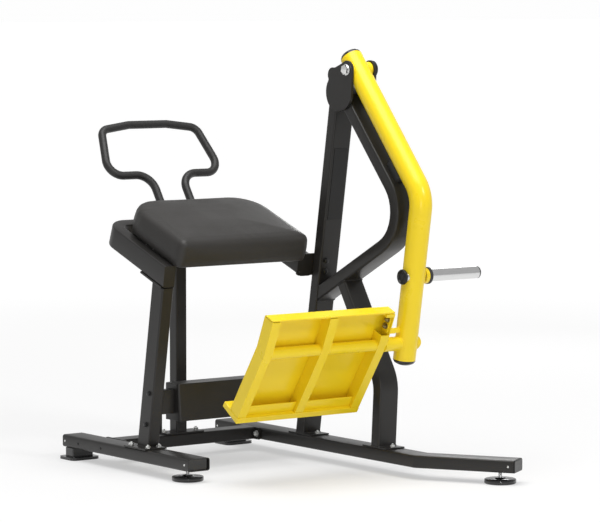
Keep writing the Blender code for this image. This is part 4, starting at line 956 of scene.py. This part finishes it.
def pipeWelds():
    # the handle's legs on the seat tube, and the foot plate's mid tubes between its ribs
    slope = Vector((0, math.sin(handleShape["tilt"]), math.cos(handleShape["tilt"])))
    radius = handleShape["radius"]
    for label, way in (("Left", -1), ("Right", 1)):
        foot = meet(at(*handleShape["middle"]) + across * way * handleShape["leg"], slope,
                    seatSpot(0, 0, padShape["base"]), seatUp)
        ringWeld(f"handle{label}Weld", foot, across * radius, seatAlong * radius / slope.dot(seatUp),
                 frameCoat, "frame", "frame_paint")
    ribSides = [x for bay in ledgeShape["bays"] for x in bay]
    for number, x in enumerate(ribSides, 1):
        ringWeld(f"midTubeWeld{number}", at(x, *hingeSpot), Vector((0, midTubeRadius, 0)), upward * midTubeRadius,
                 yellowCoat, "foot_plate", "arm_paint")


def saddleWeld(name, centre, way, radius, sideways):
    # round a pipe of this radius where it leaves the lever tube sideways
    flat = way.cross(across).normalized()
    points = []
    for step in range(weldSize["saddleSteps"]):
        turn = 2 * math.pi * step / weldSize["saddleSteps"]
        out = flat * math.cos(turn) * radius + way * math.sin(turn) * radius
        bulge = math.sqrt(leverShape["radius"] ** 2 - (math.cos(turn) * radius) ** 2)
        points.append(centre + out + across * sideways * bulge)
    weldBead(name, points, weldSize["box"], yellowCoat, "swing_arm", "arm_paint")


def leverWelds():
    upperWay, lowerWay = (leverApex - leverPivot).normalized(), (leverBottom - leverApex).normalized()
    saddleWeld("pivotHubWeld", leverPivot, upperWay, hubRadii["pivot"], 1)
    saddleWeld("hornCollarWeld", at(mainRail, *hornShape["spot"]), lowerWay, hubRadii["horn"], 1)
    for label, side in (("Left", -1), ("Right", 1)):
        saddleWeld(f"hingeHub{label}Weld", at(mainRail, *hingeSpot), lowerWay, hubRadii["hinge"], side)


rimWelds()
leverWelds()
pipeWelds()
print("trim and welds done")


floorShape = {"size": 400, "bounce": 0.74, "seen": 0.43, "near": 1.0, "far": 8.0, "nearLift": 0.475,
              "farLift": 0.725, "mirrorLift": 0.42, "roughness": 0.9, "specular": 0.1}
roomShape = {"onObject": 0.30, "seen": 0.99, "mirrored": 0.50}


def makeFloor():
    # the view sees a paler floor that brightens outwards; light that bounces meets a plain one
    shape = floorShape
    clearSelection()
    bpy.ops.mesh.primitive_plane_add(size=shape["size"], location=(0, 0, 0))
    floor = bpy.context.object
    floor.name = "studioFloor"
    openEdit(floor)
    bpy.ops.mesh.subdivide(number_cuts=4)
    closeEdit()
    material = bpy.data.materials.new("paleFloor")
    material.use_nodes = True
    tree = material.node_tree
    shader = tree.nodes["Principled BSDF"]
    shader.inputs["Roughness"].default_value = shape["roughness"]
    shader.inputs["Specular IOR Level"].default_value = shape["specular"]
    path = addNode(tree, "LightPath")
    tone = addNode(tree, "MapRange", {"To Min": shape["bounce"], "To Max": shape["seen"]})
    place = addNode(tree, "TexCoord")
    away = addNode(tree, "VectorMath", operation="LENGTH")
    spread = addNode(tree, "MapRange", {"From Min": shape["near"], "From Max": shape["far"],
                                        "To Min": shape["nearLift"], "To Max": shape["farLift"]})
    seen = addNode(tree, "Math", operation="MULTIPLY")
    lift = addNode(tree, "Math", {1: shape["mirrorLift"]}, operation="MULTIPLY_ADD")
    glow = addNode(tree, "Emission", {"Color": (1, 1, 1, 1)})
    both = addNode(tree, "AddShader")
    wire(tree, (path, "Is Camera Ray", tone, "Value"), (tone, "Result", shader, "Base Color"),
         (place, "Object", away, 0), (away, "Value", spread, "Value"), (path, "Is Camera Ray", seen, 0),
         (spread, "Result", seen, 1), (path, "Is Glossy Ray", lift, 0), (seen, "Value", lift, 2),
         (lift, "Value", glow, "Strength"), (shader, "BSDF", both, 0), (glow, "Emission", both, 1),
         (both, "Shader", tree.nodes["Material Output"], "Surface"))
    floor.data.materials.append(material)


def makeRoom():
    world = bpy.data.worlds.new("paleRoom")
    bpy.context.scene.world = world
    world.use_nodes = True
    sky = world.node_tree
    back = sky.nodes["Background"]
    back.inputs["Color"].default_value = (1, 1, 1, 1)
    rays = addNode(sky, "LightPath")
    seen = addNode(sky, "Math", operation="MAXIMUM")
    seenToo = addNode(sky, "Math", operation="MAXIMUM")
    mirrored = addNode(sky, "Math", {1: roomShape["mirrored"]}, operation="MULTIPLY")
    strength = addNode(sky, "MapRange", {"To Min": roomShape["onObject"], "To Max": roomShape["seen"]})
    wire(sky, (rays, "Is Camera Ray", seen, 0), (rays, "Is Glossy Ray", mirrored, 0), (mirrored, "Value", seen, 1),
         (seen, "Value", seenToo, 0), (rays, "Is Transmission Ray", seenToo, 1),
         (seenToo, "Value", strength, "Value"), (strength, "Result", back, "Strength"))


# Each lamp: where it hangs, the height it points at, its width, its power.
lamps = {"keyFront": ((0.6, -7.0, 5.2), 0.9, 1.0, 165), "softboxTop": ((-0.5, -0.5, 4.5), 0, 3.0, 110),
         "cornerLight": ((-5.4, -8.4, 1.3), 0.8, 0.6, 85), "rimRight": ((3.6, 3.2, 2.2), 0.8, 1.0, 14)}
skylight = {"power": 1.0, "spread": math.radians(60), "turn": (math.radians(12), math.radians(-8), 0)}
camera = {"lens": 192.84, "sensor": 36.0, "clip": (0.1, 600), "spot": (-7.40654594, -9.98748189, 1.775),
          "turn": (math.radians(85.33), 0, math.radians(-36.56))}


def placeHolder(name, data, spot, turn):
    holder = bpy.data.objects.new(name, data)
    bpy.context.collection.objects.link(holder)
    holder.location, holder.rotation_euler = spot, turn
    return holder


def makeLights():
    sun = bpy.data.lights.new("skylight", "SUN")
    sun.energy, sun.angle = skylight["power"], skylight["spread"]
    placeHolder("skylight", sun, (0, 0, 0), skylight["turn"])
    for name, (spot, height, size, power) in lamps.items():
        lamp = bpy.data.lights.new(name, "AREA")
        lamp.shape, lamp.size, lamp.energy = "SQUARE", size, power
        aim = Vector((0, 0, height)) - Vector(spot)
        placeHolder(name, lamp, spot, aim.to_track_quat("-Z", "Y").to_euler())


def makeCamera():
    view = bpy.data.cameras.new("photoView")
    view.lens, view.sensor_width = camera["lens"], camera["sensor"]
    view.clip_start, view.clip_end = camera["clip"]
    bpy.context.scene.camera = placeHolder("photoView", view, at(*camera["spot"]), camera["turn"])


makeFloor()
makeRoom()
makeLights()
makeCamera()
bpy.context.scene.view_settings.view_transform = "Standard"
print("studio ready")
